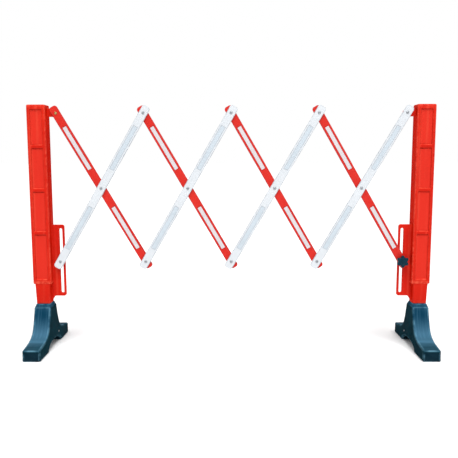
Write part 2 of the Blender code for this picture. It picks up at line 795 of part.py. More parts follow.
def right_slider_pieces():
    """What rides in the right slot, on the lower end of red slat 4."""
    place = (-FIRST_PIVOT_X, 0, BOTTOM_PIVOT_Z)
    back = PLATE_THICKNESS / 2 + GAP
    washer = ring_mesh(PIVOT_HOLE_RADIUS, WASHER_RADIUS, back, back + WASHER_THICKNESS)
    head = back + WASHER_THICKNESS + GAP
    tip = knob_back() - KNOB_HUB_HEIGHT - BOLT_ENTRY
    profile = [
        (0, head + BOLT_HEAD_HEIGHT),
        (BOLT_HEAD_RADIUS * HEAD_CROWN, head + BOLT_HEAD_HEIGHT),
        (BOLT_HEAD_RADIUS, head + BOLT_HEAD_HEIGHT * HEAD_RIM),
        (BOLT_HEAD_RADIUS, head),
        (BOLT_RADIUS, head),
        (BOLT_RADIUS, tip + BOLT_CHAMFER),
        (BOLT_RADIUS - BOLT_CHAMFER, tip),
        (0, tip),
    ]
    return [
        piece("right_slider", slider_mesh(), "nylon", place),
        piece("clamp_bolt_washer", washer, "steel", place),
        piece("clamp_bolt", turned_mesh(profile), "steel", place),
    ]


def clamp_washer():
    """The plain washer between red slat 4 and the knob."""
    back = RED_FRONT - GAP
    mesh = ring_mesh(PIVOT_HOLE_RADIUS, CLAMP_WASHER_RADIUS, back - WASHER_THICKNESS, back)
    return piece("clamp_washer", mesh, "steel", (-FIRST_PIVOT_X, 0, BOTTOM_PIVOT_Z))


def knob_back():
    return RED_FRONT - WASHER_THICKNESS - 2 * GAP


def star_knob():
    """A knob with round lobes on a hub. Its bore is open at the back only."""
    steps = KNOB_LOBE_STEPS * KNOB_LOBES
    outline = []
    for step in range(steps):
        angle = 2 * math.pi * step / steps
        radius = KNOB_RADIUS + KNOB_LOBE * math.cos(KNOB_LOBES * angle)
        outline.append((radius * math.sin(angle), radius * math.cos(angle)))
    hub_back = knob_back()
    star_back = hub_back - KNOB_HUB_HEIGHT
    front = star_back - KNOB_THICKNESS
    knob = add_object("knob", plate_mesh([outline], star_back, front), CUTTERS)
    bevel(knob, KNOB_EDGE, 2, 50)
    hub = cylinder_mesh(KNOB_HUB_RADIUS, -hub_back, -star_back + REACH)
    hub.transform(Matrix.Rotation(math.pi / 2, 4, "X"))
    combine(knob, hub, "UNION")
    bore = cylinder_mesh(
        KNOB_BORE_RADIUS, -hub_back - REACH, -front - KNOB_BORE_END, sides=HOLE_SIDES
    )
    bore.transform(Matrix.Rotation(math.pi / 2, 4, "X"))
    combine(knob, bore, "DIFFERENCE")
    return piece("star_knob", frozen(knob), "knob", (-FIRST_PIVOT_X, 0, BOTTOM_PIVOT_Z))


def post_pieces(name, x, mesh):
    """A post with the bolt and washer that hold its foot."""
    top = RECESS_TOP - GAP
    washer = ring_mesh(
        SWIVEL_HOLE_RADIUS, SWIVEL_WASHER_RADIUS, top - SWIVEL_WASHER_THICKNESS, top, "Z"
    )
    return [
        piece(f"{name}_post", mesh, "red_plastic", (x, 0, 0)),
        piece(f"{name}_swivel_bolt", swivel_bolt_mesh(), "steel", (x, 0, 0)),
        piece(f"{name}_swivel_washer", washer, "steel", (x, 0, 0)),
    ]


def foot_pieces(name, x, foot, screw):
    return [
        piece(f"{name}_foot", foot, "foot", (x, 0, 0)),
        piece(f"{name}_foot_screw", screw, "steel", (x, SIDE_SCREW_Y, SIDE_SCREW_Z)),
    ]


def end_frames():
    """The posts and the feet they turn on. The right pair mirrors the left one."""
    post, foot, screw = post_mesh(), foot_mesh(), side_screw_mesh()
    left_posts = post_pieces("left", -POST_X, post) + left_lug_pieces(FIRST_PIVOT_X)
    right_posts = post_pieces("right", POST_X, mirrored_mesh(post))
    left_feet = foot_pieces("left", -POST_X, foot, screw)
    right_feet = foot_pieces("right", POST_X, mirrored_mesh(foot), mirrored_mesh(screw))
    body("left_post_body", (FIRST_PIVOT_X, 0, TOP_PIVOT_Z), left_posts)
    body("right_post_body", (-FIRST_PIVOT_X, 0, TOP_PIVOT_Z), right_posts)
    body("left_foot_body", (-POST_X, 0, COLLAR_TOP), left_feet)
    body("right_foot_body", (POST_X, 0, COLLAR_TOP), right_feet)


def main():
    clear_scene()
    end_frames()
    lattice()
    slide_place = (-FIRST_PIVOT_X, 0, BOTTOM_PIVOT_Z)
    body("left_slider_body", (FIRST_PIVOT_X, 0, BOTTOM_PIVOT_Z), left_slider_pieces())
    body("right_slider_body", slide_place, right_slider_pieces())
    body("clamp_washer_body", slide_place, [clamp_washer()])
    body("star_knob_body", slide_place, [star_knob()])


main()
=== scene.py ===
"""Looks for an expanding lattice barrier: posts, feet, taped slats, rivets, bolts and a knob.

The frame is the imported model's: metres, +X along the barrier, -Y towards its front, +Z up.
"""
import json
import math

import bmesh
import bpy
from mathutils import Matrix, Vector
from mathutils.geometry import interpolate_bezier

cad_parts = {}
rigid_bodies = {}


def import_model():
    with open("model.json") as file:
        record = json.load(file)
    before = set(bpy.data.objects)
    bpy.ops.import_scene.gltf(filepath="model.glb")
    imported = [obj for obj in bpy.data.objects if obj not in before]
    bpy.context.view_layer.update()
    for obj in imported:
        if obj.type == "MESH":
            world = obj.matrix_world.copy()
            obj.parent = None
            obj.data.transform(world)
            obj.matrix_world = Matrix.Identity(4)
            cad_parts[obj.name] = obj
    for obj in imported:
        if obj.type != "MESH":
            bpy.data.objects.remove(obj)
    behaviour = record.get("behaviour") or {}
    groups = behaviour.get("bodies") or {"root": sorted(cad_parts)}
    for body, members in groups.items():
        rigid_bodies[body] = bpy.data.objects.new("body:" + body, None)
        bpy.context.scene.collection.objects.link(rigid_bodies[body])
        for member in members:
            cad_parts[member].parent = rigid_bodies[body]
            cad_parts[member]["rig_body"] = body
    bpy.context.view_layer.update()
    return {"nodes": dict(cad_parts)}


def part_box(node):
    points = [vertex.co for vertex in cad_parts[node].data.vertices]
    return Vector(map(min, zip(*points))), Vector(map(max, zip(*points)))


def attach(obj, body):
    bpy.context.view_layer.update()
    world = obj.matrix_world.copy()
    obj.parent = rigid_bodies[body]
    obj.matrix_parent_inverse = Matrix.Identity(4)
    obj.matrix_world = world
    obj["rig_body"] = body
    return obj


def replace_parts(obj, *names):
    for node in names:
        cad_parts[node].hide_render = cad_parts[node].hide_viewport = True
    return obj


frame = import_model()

NODES = frame["nodes"]

# ---- sizes of the posts, in metres ----
POST_WIDTH = 0.076
POST_DEPTH = 0.065
POST_TOP = 1.004
POST_BASE = 0.274
POST_CORNER = 0.0070
TOP_ROUNDING = 0.0055
BASE_ROUNDING = 0.0030
PANEL_WIDTH = 0.051
PANEL_DEPTH = 0.0045
PANEL_SLOPE = 0.0032
PANEL_CORNER = 0.0030
PANEL_TOP = 0.986
PANEL_BASE = 0.2915
FIRST_RIB_TOP = 0.843
RIB_PITCH = 0.1755
RIB_HEIGHT = 0.012
RIB_COUNT = 3
RIB_CROWN = 0.0013
SEAM_HEIGHT = 0.0003
SEAM_SPREAD = 0.0007
ROW_PITCH = 0.02
BOX_CORNER = 0.006
NECK_WIDTH = 0.056
NECK_FLARE = 0.006
NECK_LIP = 0.0022
NECK_BASE = 0.190
NECK_TOP = POST_BASE + 0.008
SPIGOT_RADIUS = 0.018
SPIGOT_BASE = 0.120
SPIGOT_TOP = NECK_BASE + 0.004
PLATE_THICKNESS = 0.008
PLATE_ROUNDING = 0.0011
PLATE_FILLET = 0.0035
PLATE_ROOT_X = 0.030
PIVOT_OFFSET = 0.076
BRACKET_EDGE = 0.0910
BRACKET_TOP = 0.518
BRACKET_BASE = 0.218
BRACKET_CORNER = 0.009
BRACKET_ROOT_X = PLATE_ROOT_X - 0.012
GUSSET_TOP_X = 0.044
GUSSET_BASE_X = 0.029
SLOT_WIDTH = 0.0124
SLOT_TOP = 0.503
SLOT_BASE = 0.2315
LUG_RADIUS = 0.0138
LUG_ROOT_HEIGHT = 0.0230
TOP_PIVOT_Z = 0.9705
PIVOT_HOLE_RADIUS = 0.0043

# ---- sizes of the feet ----
FOOT_LENGTH = 0.404
FOOT_WIDTH = 0.071
FOOT_DRAFT = 0.0025
FOOT_TOP = 0.176
FOOT_TOP_LENGTH = 0.082
FOOT_ROUNDING = 0.0060
LEG_HANDLE_TOP = (0.0294, -0.1008)
LEG_HANDLE_BASE = (-0.0528, 0.0154)
LEG_STEPS = 18
TOE_HEIGHT = 0.045
TOE_ROOT_HEIGHT = 0.055
TOE_ROOT_Y = 0.130
TOE_INNER_Y = 0.0885
ARCH_HEIGHT = 0.033
COLLAR_TOP = 0.1895
COLLAR_BASE = FOOT_TOP - 0.0045
COLLAR_WIDTH = 0.056
COLLAR_LENGTH = 0.066
COLLAR_FLARE = 0.011
SOCKET_RADIUS = 0.0185
SOCKET_BASE = 0.1165
SWIVEL_HOLE_RADIUS = 0.0054
RECESS_RADIUS = 0.0150
RECESS_TOP = 0.066
CUT_REACH = 0.01

# ---- sizes of the slats and tapes ----
SLAT_SPAN = 0.700
SLAT_REACH = 0.353
SLAT_END = 0.030
SLAT_WIDTH = 0.034
SLAT_THICKNESS = 0.008
SLAT_CORNER = 0.011
SLAT_ROUNDING = 0.0020
SLAT_LEAN = math.asin(SLAT_REACH / SLAT_SPAN)
TAPE_LENGTH = 0.196
TAPE_WIDTH = 0.0155
TAPE_THICKNESS = 0.0004
TAPE_OFFSET = 0.188
TAPE_LIFT = 0.0001
POCKET_LENGTH = 0.203
POCKET_WIDTH = 0.021
POCKET_DEPTH = 0.0008
POCKET_SLOPE = 0.0009
GAP = 0.0003

# ---- sizes of the knob, sliders, rivets and bolts ----
KNOB_RADIUS = 0.0222
KNOB_LOBE = 0.0034
KNOB_LOBES = 6
KNOB_SIDES = 96
KNOB_BACK_ROUNDING = 0.0022
KNOB_FRONT_ROUNDING = 0.0038
KNOB_CROWN = 0.0006
KNOB_HUB_RADIUS = 0.0115
KNOB_HUB_HEIGHT = 0.005
SLIDER_HEIGHT = 0.020
SLIDER_CORNER = 0.004
FLANGE_THICKNESS = 0.0018
RIVET_RADIUS = 0.0040
RIVET_HEAD_RADIUS = 0.0052
RIVET_HEAD_RISE = 0.0022
RIVET_RIM = 0.0007
RIVET_CROWN_RADIUS = 0.0019
RIVET_COLLAR_RADIUS = 0.0080
THREAD_PITCH = 0.00125
THREAD_DEPTH = 0.0006
CLAMP_SHANK_RADIUS = 0.0039
CLAMP_HEAD_RISE = 0.005
SWIVEL_SHANK_RADIUS = 0.0050
SWIVEL_SHANK_LENGTH = 0.030
SWIVEL_HEAD_RISE = 0.0064
TIP_RADIUS = 0.0004

# ---- the viewer ----
VIEW_PLACE = (-0.0016, -2.4353, 0.7982)
VIEW_PITCH = math.radians(7.009)
VIEW_ROLL = -0.00142
VIEW_YAW = -0.00313
SENSOR_WIDTH = 36
IMAGE_WIDTH = 458
FOCAL_PIXELS = 592.7


# ---- mesh helpers ----
def add_object(name, data):
    made = bpy.data.objects.new(name, data)
    bpy.context.scene.collection.objects.link(made)
    return made


def mesh_of(build, name="shape"):
    mesh = bpy.data.meshes.new(name)
    build.to_mesh(mesh)
    build.free()
    return mesh


def arc(centre, radius, start, end, steps):
    points = []
    for step in range(steps + 1):
        angle = math.radians(start + (end - start) * step / steps)
        points.append((centre[0] + radius * math.cos(angle), centre[1] + radius * math.sin(angle)))
    return points


def turned(sides):
    """The angles of the corners of a turned shape."""
    return [2 * math.pi * number / sides for number in range(sides)]


def quarter(steps):
    """Angles over a quarter turn, both ends among them."""
    return [math.pi / 2 * step / steps for step in range(steps + 1)]


def circle(radius, y, sides):
    return [(radius * math.cos(angle), y, radius * math.sin(angle)) for angle in turned(sides)]


def bored(outside, radius, place, axis):
    """A circle in line with the points of an outer ring, at a place on the bore's axis."""
    points = []
    for point in outside:
        inner = Vector(point)
        inner[axis] = 0
        inner *= radius / inner.length
        inner[axis] = place
        points.append(inner)
    return points


def rounding(radius, steps, first=0):
    """Points down a round edge: how far each lies in from the side and down from the top."""
    return [(radius * (1 - math.cos(angle)), radius * (1 - math.sin(angle)))
            for angle in quarter(steps)[first:]]


def pivot_hole(x, z):
    return arc((x, z), PIVOT_HOLE_RADIUS, 0, 360, 24)[:-1]


def rounded_rectangle(width, height, radius, steps, centre=(0.0, 0.0)):
    across, up = width / 2 - radius, height / 2 - radius
    corners = ((across, up), (-across, up), (-across, -up), (across, -up))
    points = []
    for number, (x, z) in enumerate(corners):
        corner = (centre[0] + x, centre[1] + z)
        points += arc(corner, radius, number * 90, number * 90 + 90, steps)
    return points


def neighbours(loop):
    """Each point of a loop, between the steps that lead to it and from it."""
    points = [Vector(point[:2]) for point in loop]
    for number, here in enumerate(points):
        after = points[(number + 1) % len(points)]
        yield here - points[number - 1], here, after - here


def filleted(corners, steps=5):
    """An outline from corners, each an x, a z and a radius that rounds it."""
    points = []
    for (before, here, after), (_, _, radius) in zip(neighbours(corners), corners):
        if radius <= 0:
            points.append(here)
            continue
        reach = radius / math.tan((-before).angle(after) / 2)
        reach = min(reach, 0.49 * before.length, 0.49 * after.length)
        start = here - before.normalized() * reach
        end = here + after.normalized() * reach
        for step in range(steps + 1):
            t = step / steps
            points.append(start.lerp(here, t).lerp(here.lerp(end, t), t))
    return points


def offset_loop(points, distance):
    """The loop moved to its left by a distance. Material lies on the left of every loop."""
    moved = []
    for one, here, two in neighbours(points):
        left_one = Vector((-one.y, one.x)).normalized()
        left_two = Vector((-two.y, two.x)).normalized()
        share = max(1 + left_one.dot(left_two), 0.4)
        moved.append(here + (left_one + left_two) * distance / share)
    return moved


def turn_of(points):
    """How convex each point of a loop is, from 0 to 1."""
    turns = []
    for one, _, two in neighbours(points):
        angle = math.atan2(one.x * two.y - one.y * two.x, one.dot(two))
        length = max((one.length + two.length) / 2, 1e-6)
        turns.append(min(max(angle / length * 0.008, 0.0), 1.0))
    return turns


def mark_layers(build):
    """Two values at each corner of a mesh: its wear, which the looks also turn into painted
    highlights and painted edge shade, and its dirt, which also stands for painted shade in slopes
    and pockets.
    """
    return [build.verts.layers.float.new(name) for name in ("wear_and_painted_light", "painted_shade_and_dirt")]


def ring(build, layers, points, *marks):
    """A loop of corners. Each mark is one value, or a list with a value for each corner."""
    verts = []
    for number, point in enumerate(points):
        vert = build.verts.new(point)
        for layer, mark in zip(layers, marks):
            vert[layer] = mark[number] if isinstance(mark, list) else mark
        verts.append(vert)
    return verts


def in_pairs(verts):
    """Each corner of a loop with the one after it."""
    return zip(verts, verts[1:] + verts[:1])


def bridge(build, first, second):
    for (one, two), (three, four) in zip(in_pairs(first), in_pairs(second)):
        build.faces.new((one, two, four, three))


def ring_edges(verts):
    return [next(edge for edge in one.link_edges if two in edge.verts)
            for one, two in in_pairs(verts)]


def finished(build):
    bmesh.ops.recalc_face_normals(build, faces=build.faces)
    return mesh_of(build)


def slab(outer, half, round_edge, holes=(), pockets=(), depth=0.0, slope=0.001, margin=0.0015):
    """A plate in the XZ plane with round edges, holes right through and pockets in both faces."""
    build = bmesh.new()
    layers = mark_layers(build)
    faces_of = {1: [], -1: []}

    def loop_at(points, inset, y, *marks):
        return ring(build, layers, [(x, y, z) for x, z in offset_loop(points, inset)], *marks)

    for loop in [outer] + [list(reversed(hole)) for hole in holes]:
        wall = max(half - round_edge - margin, (half - round_edge) * 0.5)
        front = [(round_edge + margin, half, 0.0)]
        # The round edges' wear also serves as painted light: lighter on the plates and feet,
        # darker on the slats.
        front += [(inset, half - drop, 1.0) for inset, drop in reversed(rounding(round_edge, 4))]
        front.append((0.0, wall, turn_of(loop)))
        back = [(inset, -y, wear_and_painted_light) for inset, y, wear_and_painted_light in reversed(front)]
        rings = [loop_at(loop, *station) for station in front + back]
        for first, second in zip(rings, rings[1:]):
            bridge(build, first, second)
        faces_of[1].append(rings[0])
        faces_of[-1].append(rings[-1])
    for side in (1, -1):
        for pocket in pockets:
            # The pockets' lips and floors hold dirt and painted shade.
            rim = ring(build, layers, [(x, side * half, z) for x, z in pocket], 0.05)
            lip = loop_at(pocket, slope * 0.3, side * (half - depth * 0.3), 0.1, 1.0)
            floor = loop_at(pocket, slope, side * (half - depth), 0.0, 1.0)
            bridge(build, rim, lip)
            bridge(build, lip, floor)
            build.faces.new(floor)
            faces_of[side].append(rim)
        edges = [edge for loop in faces_of[side] for edge in ring_edges(loop)]
        bmesh.ops.triangle_fill(build, edges=edges, use_beauty=True)
    return finished(build)


def loft(rings, wear_and_light_marks=None, shade_and_dirt_marks=None, round_trip=False):
    """A closed skin through rings of points, with end caps or back round to the first ring."""
    build = bmesh.new()
    layers = mark_layers(build)
    clean = [0.0] * len(rings)
    made = []
    # Wear marks carry painted highlights and painted shade; dirt marks carry painted shade.
    for points, wear_and_painted_light, painted_shade_and_dirt in zip(rings, wear_and_light_marks or clean, shade_and_dirt_marks or clean):
        made.append(ring(build, layers, points, wear_and_painted_light, painted_shade_and_dirt))
    for first, second in zip(made, made[1:]):
        bridge(build, first, second)
    if round_trip:
        bridge(build, made[-1], made[0])
    else:
        build.faces.new(made[0])
        build.faces.new(made[-1])
    return finished(build)


def lathe(profile, sides=48, axis="Y"):
    """A turned solid. The profile's pairs are a radius and a place on the axis."""
    build = bmesh.new()
    rings = []
    for radius, place in profile:
        points = circle(radius, place, sides) if radius else [(0, place, 0)]
        rings.append(ring(build, (), points))
    pairs = list(in_pairs(rings))
    for first, second in pairs if profile[0][0] else pairs[:-1]:
        if len(first) > 1 and len(second) > 1:
            bridge(build, first, second)
            continue
        tip, rim = sorted((first, second), key=len)
        for one, two in in_pairs(rim):
            build.faces.new((tip[0], one, two))
    mesh = finished(build)
    if axis == "Z":
        mesh.transform(Matrix.Rotation(math.pi / 2, 4, "X"))
    if axis == "X":
        mesh.transform(Matrix.Rotation(-math.pi / 2, 4, "Z"))
    return mesh


def joined(meshes):
    build = bmesh.new()
    for mesh in meshes:
        build.from_mesh(mesh)
    return mesh_of(build)


def mirrored(mesh):
    copy = mesh.copy()
    copy.transform(Matrix.Scale(-1, 4, (1, 0, 0)))
    copy.flip_normals()
    return copy


def cut(mesh, other):
    """The mesh with another cut out of it."""
    one, two = add_object("one", mesh), add_object("two", other)
    made = one.modifiers.new("cut", "BOOLEAN")
    made.operation = "DIFFERENCE"
    made.solver = "EXACT"
    made.object = two
    bpy.context.view_layer.update()
    graph = bpy.context.evaluated_depsgraph_get()
    result = bpy.data.meshes.new_from_object(one.evaluated_get(graph))
    bpy.data.objects.remove(one)
    bpy.data.objects.remove(two)
    bpy.context.view_layer.update()
    return result


def extent(node):
    """The lower and upper corners of a CAD node's box, and its middle."""
    low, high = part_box(node)
    return low, high, (low + high) / 2


def piece(name, mesh, look, body, place, lean=0.0):
    """A visual piece that rides on a body."""
    made = add_object(name, mesh)
    made.location = place
    made.rotation_euler = (0, lean, 0)
    mesh.shade_smooth()
    mesh.set_sharp_from_angle(angle=math.radians(32))
    mesh.materials.clear()
    mesh.materials.append(look)
    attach(made, body)
    return made


def stand_in(node, ending, mesh, look, place, lean=0.0):
    """A piece in place of a CAD node, on the node's body and named after it."""
    made = piece(f"{node}_{ending}", mesh, look, NODES[node]["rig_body"], place, lean)
    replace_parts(made, node)


# ---- procedural materials ----
class Look:
    """A material with a few short cuts for its nodes."""

    def __init__(self, name):
        self.material = bpy.data.materials.new(name)
        self.material.use_nodes = True
        self.tree = self.material.node_tree
        self.shader = self.tree.nodes["Principled BSDF"]
        self.coords = self.node("TexCoord").outputs["Object"]

    def put(self, socket, value):
        """Links another node's output to a socket, or sets the socket's own value."""
        if isinstance(value, bpy.types.NodeSocket):
            self.tree.links.new(value, socket)
        else:
            socket.default_value = value

    def fill(self, node, **inputs):
        for name, value in inputs.items():
            self.put(node.inputs[name.replace("_", " ")], value)
        return node

    def node(self, kind, **inputs):
        return self.fill(self.tree.nodes.new(f"ShaderNode{kind}"), **inputs)

    def noise(self, scale, detail, rough, stretch=(1, 1, 1), distortion=0.0):
        spread = self.node("Mapping", Vector=self.coords, Scale=stretch).outputs["Vector"]
        node = self.node("TexNoise", Vector=spread, Scale=scale, Detail=detail, Roughness=rough,
                         Distortion=distortion)
        return node.outputs["Fac"]

    def math(self, operation, *values, clamp=False):
        node = self.node("Math")
        node.operation = operation
        node.use_clamp = clamp
        for socket, value in zip(node.inputs, values):
            self.put(socket, value)
        return node.outputs[0]

    def times(self, first, *others):
        for other in others:
            first = self.math("MULTIPLY", first, other)
        return first

    def plus(self, one, two):
        """The sum, held between 0 and 1."""
        return self.math("ADD", one, two, clamp=True)

    def ranged(self, value, low, high, to_low=0.0, to_high=1.0):
        node = self.node("MapRange", Value=value, From_Min=low, From_Max=high,
                         To_Min=to_low, To_Max=to_high)
        node.interpolation_type = "SMOOTHSTEP"
        return node.outputs["Result"]

    def blotches(self, scale, detail, rough, *limits):
        """Noise with soft limits."""
        return self.ranged(self.noise(scale, detail, rough), *limits)

    def mix(self, one, two, *shares):
        """The first colour with the second laid over it by the product of the shares."""
        node = self.node("Mix")
        node.data_type = "RGBA"
        one, two = [part if isinstance(part, bpy.types.NodeSocket) else (*part, 1)
                    for part in (one, two)]
        return self.fill(node, Factor=self.times(*shares), A=one, B=two).outputs["Result"]

    def axis(self, name):
        return self.node("SeparateXYZ", Vector=self.coords).outputs[name]

    def away(self, name):
        """The distance from the piece's middle along an axis."""
        return self.math("ABSOLUTE", self.axis(name))

    def painted(self, name):
        node = self.node("Attribute")
        node.attribute_name = name
        return node.outputs["Fac"]

    def shine(self, level):
        """The specular level of matt plastic, which falls off towards the silhouette."""
        node = self.node("LayerWeight")
        return self.ranged(node.outputs["Facing"], 0.42, 0.68, level, 0.002)

    def bump(self, height, strength, distance, normal=None):
        node = self.node("Bump", Strength=strength, Distance=distance, Height=height)
        if normal is not None:
            self.fill(node, Normal=normal)
        return node.outputs["Normal"]

    def finish(self, colour, roughness, **others):
        self.fill(self.shader, Base_Color=colour, Roughness=roughness, **others)
        return self.material


def moulded_look(name, deep, main, pale, dirt_and_shade, rough, streak, grain=900.0, specular=0.5,
                 faded=None, edge=None):
    """Moulded plastic: cloudy pigment, flow streaks, grain, scuffs, worn edges with a painted
    highlight in the pale colour, painted shade instead in the edge colour when one is given, and
    creases with dirt and painted shade.
    """
    look = Look(name)
    colour = look.mix(deep, main, look.blotches(9.0, 4.0, 0.55, 0.30, 0.70))
    if faded:
        level, side = POST_DEPTH / 2 - PANEL_DEPTH, PANEL_WIDTH / 2
        sunk = look.ranged(look.away("Y"), level + 0.0005, level + 0.0025, 1.0, 0.0)
        inner = look.ranged(look.away("X"), side - 0.0015, side + 0.0003, 1.0, 0.0)
        above = look.ranged(look.axis("Z"), PANEL_BASE, PANEL_BASE + 0.002)
        colour = look.mix(colour, faded, sunk, inner, above, 0.6)
    lines = look.noise(1.0, 3.0, 0.6, streak)
    colour = look.mix(colour, pale, look.ranged(lines, 0.52, 0.74, 0.0, 0.30))
    colour = look.mix(colour, pale, look.blotches(260.0, 2.0, 0.5, 0.66, 0.76, 0.0, 0.15))
    scratches = look.noise(14.0, 6.0, 0.75, (1.0, 1.0, 9.0), 0.6)
    scuffs = look.ranged(scratches, 0.67, 0.75, 0.0, 0.25)
    colour = look.mix(colour, pale, scuffs)
    # Dirt and painted shade in creases, slopes and pockets.
    patches = look.blotches(40.0, 4.0, 0.6, 0.25, 0.6, 0.45, 0.9)
    colour = look.mix(colour, dirt_and_shade, look.painted("painted_shade_and_dirt"), patches)
    # Worn edges, also painted light: the pale colour is a painted highlight, the edge colour
    # painted shade along the slats' edges.
    patches = look.blotches(75.0, 5.0, 0.65, 0.30, 0.72)
    rubbed_and_painted_light = look.times(look.painted("wear_and_painted_light"), patches)
    colour = look.mix(colour, edge or pale, rubbed_and_painted_light, 0.80 if edge else 0.60)
    gloss = look.blotches(34.0, 5.0, 0.6, 0.25, 0.75, rough - 0.06, rough + 0.07)
    gloss = look.plus(gloss, look.times(rubbed_and_painted_light, 0.14))
    gloss = look.plus(gloss, look.times(scuffs, 0.25))
    peel = look.bump(look.noise(grain, 2.0, 0.5), 0.06, 0.0003)
    swell = look.bump(look.noise(26.0, 2.0, 0.5), 0.18, 0.0012, peel)
    normal = look.bump(scratches, 0.05, 0.0005, swell)
    return look.finish(colour, gloss, Normal=normal, Specular_IOR_Level=look.shine(specular))


# Heights on the foot between which its colour changes: painted shade on the toe's front, a lighter
# toe top, the leg, a painted highlight where the leg's curve flattens, and dust near the floor.
TIP_SHADE_END = (0.034, 0.042)
TOE_TOP_START = (0.038, 0.044)
TOE_TOP_END = (0.056, 0.062)
LEG_START = (0.056, 0.070)
SHIN_START = (0.056, 0.080)
CURVE_HIGHLIGHT_START = (0.050, 0.058)
CURVE_HIGHLIGHT_END = (0.062, 0.150)
DUST_END = (0.0, 0.024)


def foot_look(name, deep, main, pale, shin, tip, dust, worn_and_highlight):
    """Recycled plastic: streaks down the leg and across the toes, with painted light: a painted
    highlight as the curve flattens, on the toe top and on rubbed edges, and painted shade on the
    toe's front.
    """
    look = Look(name)
    colour = look.mix(deep, main, look.blotches(14.0, 5.0, 0.6, 0.28, 0.72))
    height, across = look.axis("Z"), look.away("X")
    side = FOOT_WIDTH / 2
    off_side = look.ranged(across, side - 0.0035, side - 0.0010, 1.0, 0.0)
    colour = look.mix(colour, shin, look.ranged(height, *SHIN_START), off_side, 0.9)
    # Painted shade: the toe's front is darkened, except on the sides.
    colour = look.mix(colour, tip, look.ranged(height, *TIP_SHADE_END, 1.0, 0.0), off_side, 0.8)
    # Painted highlight where the leg's curve flattens towards the toe.
    curve_highlight = look.times(
        look.ranged(height, *CURVE_HIGHLIGHT_END, 1.0, 0.0), look.ranged(height, *CURVE_HIGHLIGHT_START), off_side)
    down = look.noise(1.0, 4.0, 0.65, (420.0, 9.0, 9.0))
    sideways = look.noise(1.0, 4.0, 0.65, (16.0, 300.0, 30.0))
    on_leg = look.ranged(height, *LEG_START)
    toe_top = look.times(
        look.ranged(height, *TOE_TOP_START), look.ranged(height, *TOE_TOP_END, 1.0, 0.0))
    leg_lines = look.times(look.ranged(down, 0.42, 0.78), on_leg)
    toe_lines = look.times(
        look.ranged(sideways, 0.45, 0.80), look.math("SUBTRACT", 1.0, on_leg), toe_top)
    lines = look.times(look.plus(leg_lines, toe_lines), off_side)
    # Paler by the painted highlight, the streaks and a painted lighter toe top.
    faded = look.plus(look.times(curve_highlight, 0.55), look.times(lines, 0.36))
    faded = look.plus(faded, look.times(toe_top, off_side, 0.17))
    colour = look.mix(colour, pale, faded)
    dusty = look.blotches(60.0, 5.0, 0.7, 0.35, 0.7)
    low = look.ranged(height, *DUST_END, 0.05, 0.0)
    colour = look.mix(colour, dust, low, dusty)
    # Rubbed edges, lightened further as a painted highlight.
    patches = look.blotches(32.0, 4.0, 0.6, 0.34, 0.66)
    middle = look.ranged(across, side - 0.0070, side - 0.0040, 1.0, 0.40)
    rubbed_and_painted_light = look.times(look.painted("wear_and_painted_light"), patches, middle)
    colour = look.mix(colour, worn_and_highlight, rubbed_and_painted_light, 0.62)
    gloss = look.blotches(40.0, 5.0, 0.6, 0.25, 0.75, 0.36, 0.50)
    gloss = look.plus(gloss, look.times(rubbed_and_painted_light, 0.10))
    grain = look.bump(look.noise(700.0, 3.0, 0.6), 0.12, 0.0004)
    normal = look.bump(lines, 0.10, 0.0004, grain)
    return look.finish(colour, gloss, Normal=normal, Specular_IOR_Level=look.shine(0.035))


def tape_look(name, cell, border):
    """Reflective sheeting: honeycomb cells under a clear, slightly dirty film."""
    look = Look(name)
    width = 0.0034
    tall = width * math.sqrt(3)
    x, z = look.axis("X"), look.axis("Z")

    def from_cell(value, period, shift):
        """How far a value lies from the middle of its cell."""
        moved = look.math("ADD", value, shift)
        return look.math("ABSOLUTE", look.math("WRAP", moved, period / 2, -period / 2))

    def to_wall(shift_x, shift_z):
        across, along = from_cell(x, width, shift_x), from_cell(z, tall, shift_z)
        slant = look.math("ADD", look.times(across, 0.5), look.times(along, math.sqrt(0.75)))
        return look.math("MAXIMUM", across, slant)

    nearest = look.math("MINIMUM", to_wall(0.0, 0.0), to_wall(width / 2, tall / 2))
    walls = look.ranged(nearest, width * 0.40, width * 0.47)
    sheen = look.noise(24.0, 4.0, 0.6, (1.0, 1.0, 0.4))
    bright = tuple(part * 1.10 for part in cell)
    base = look.mix(cell, bright, look.ranged(sheen, 0.3, 0.7))
    colour = look.mix(base, border, walls)
    smears = look.noise(22.0, 6.0, 0.7, (1.0, 1.0, 3.0), 0.5)
    colour = look.mix(colour, (0.36, 0.37, 0.38), look.ranged(smears, 0.55, 0.75, 0.0, 0.14))
    gloss = look.blotches(90.0, 4.0, 0.6, 0.3, 0.7, 0.24, 0.38)
    normal = look.bump(walls, 0.12, 0.0001)
    return look.finish(colour, gloss, Normal=normal,
                       Specular_IOR_Level=0.4, Coat_Weight=0.2, Coat_Roughness=0.2)


def metal_look(name, main, dark, rough, dull=(0.30, 0.30, 0.30)):
    """Plated steel: fine turning marks, cloudy plating and a little dirt."""
    look = Look(name)
    colour = look.mix(dark, main, look.blotches(180.0, 4.0, 0.6, 0.3, 0.7))
    spots = look.blotches(520.0, 4.0, 0.7, 0.58, 0.72, 0.0, 0.55)
    colour = look.mix(colour, dull, spots)
    gloss = look.blotches(300.0, 5.0, 0.6, 0.3, 0.7, rough - 0.08, rough + 0.10)
    gloss = look.plus(gloss, look.times(spots, 0.25))
    normal = look.bump(look.noise(1400.0, 3.0, 0.6), 0.10, 0.0002)
    return look.finish(colour, gloss, Normal=normal, Metallic=1.0)


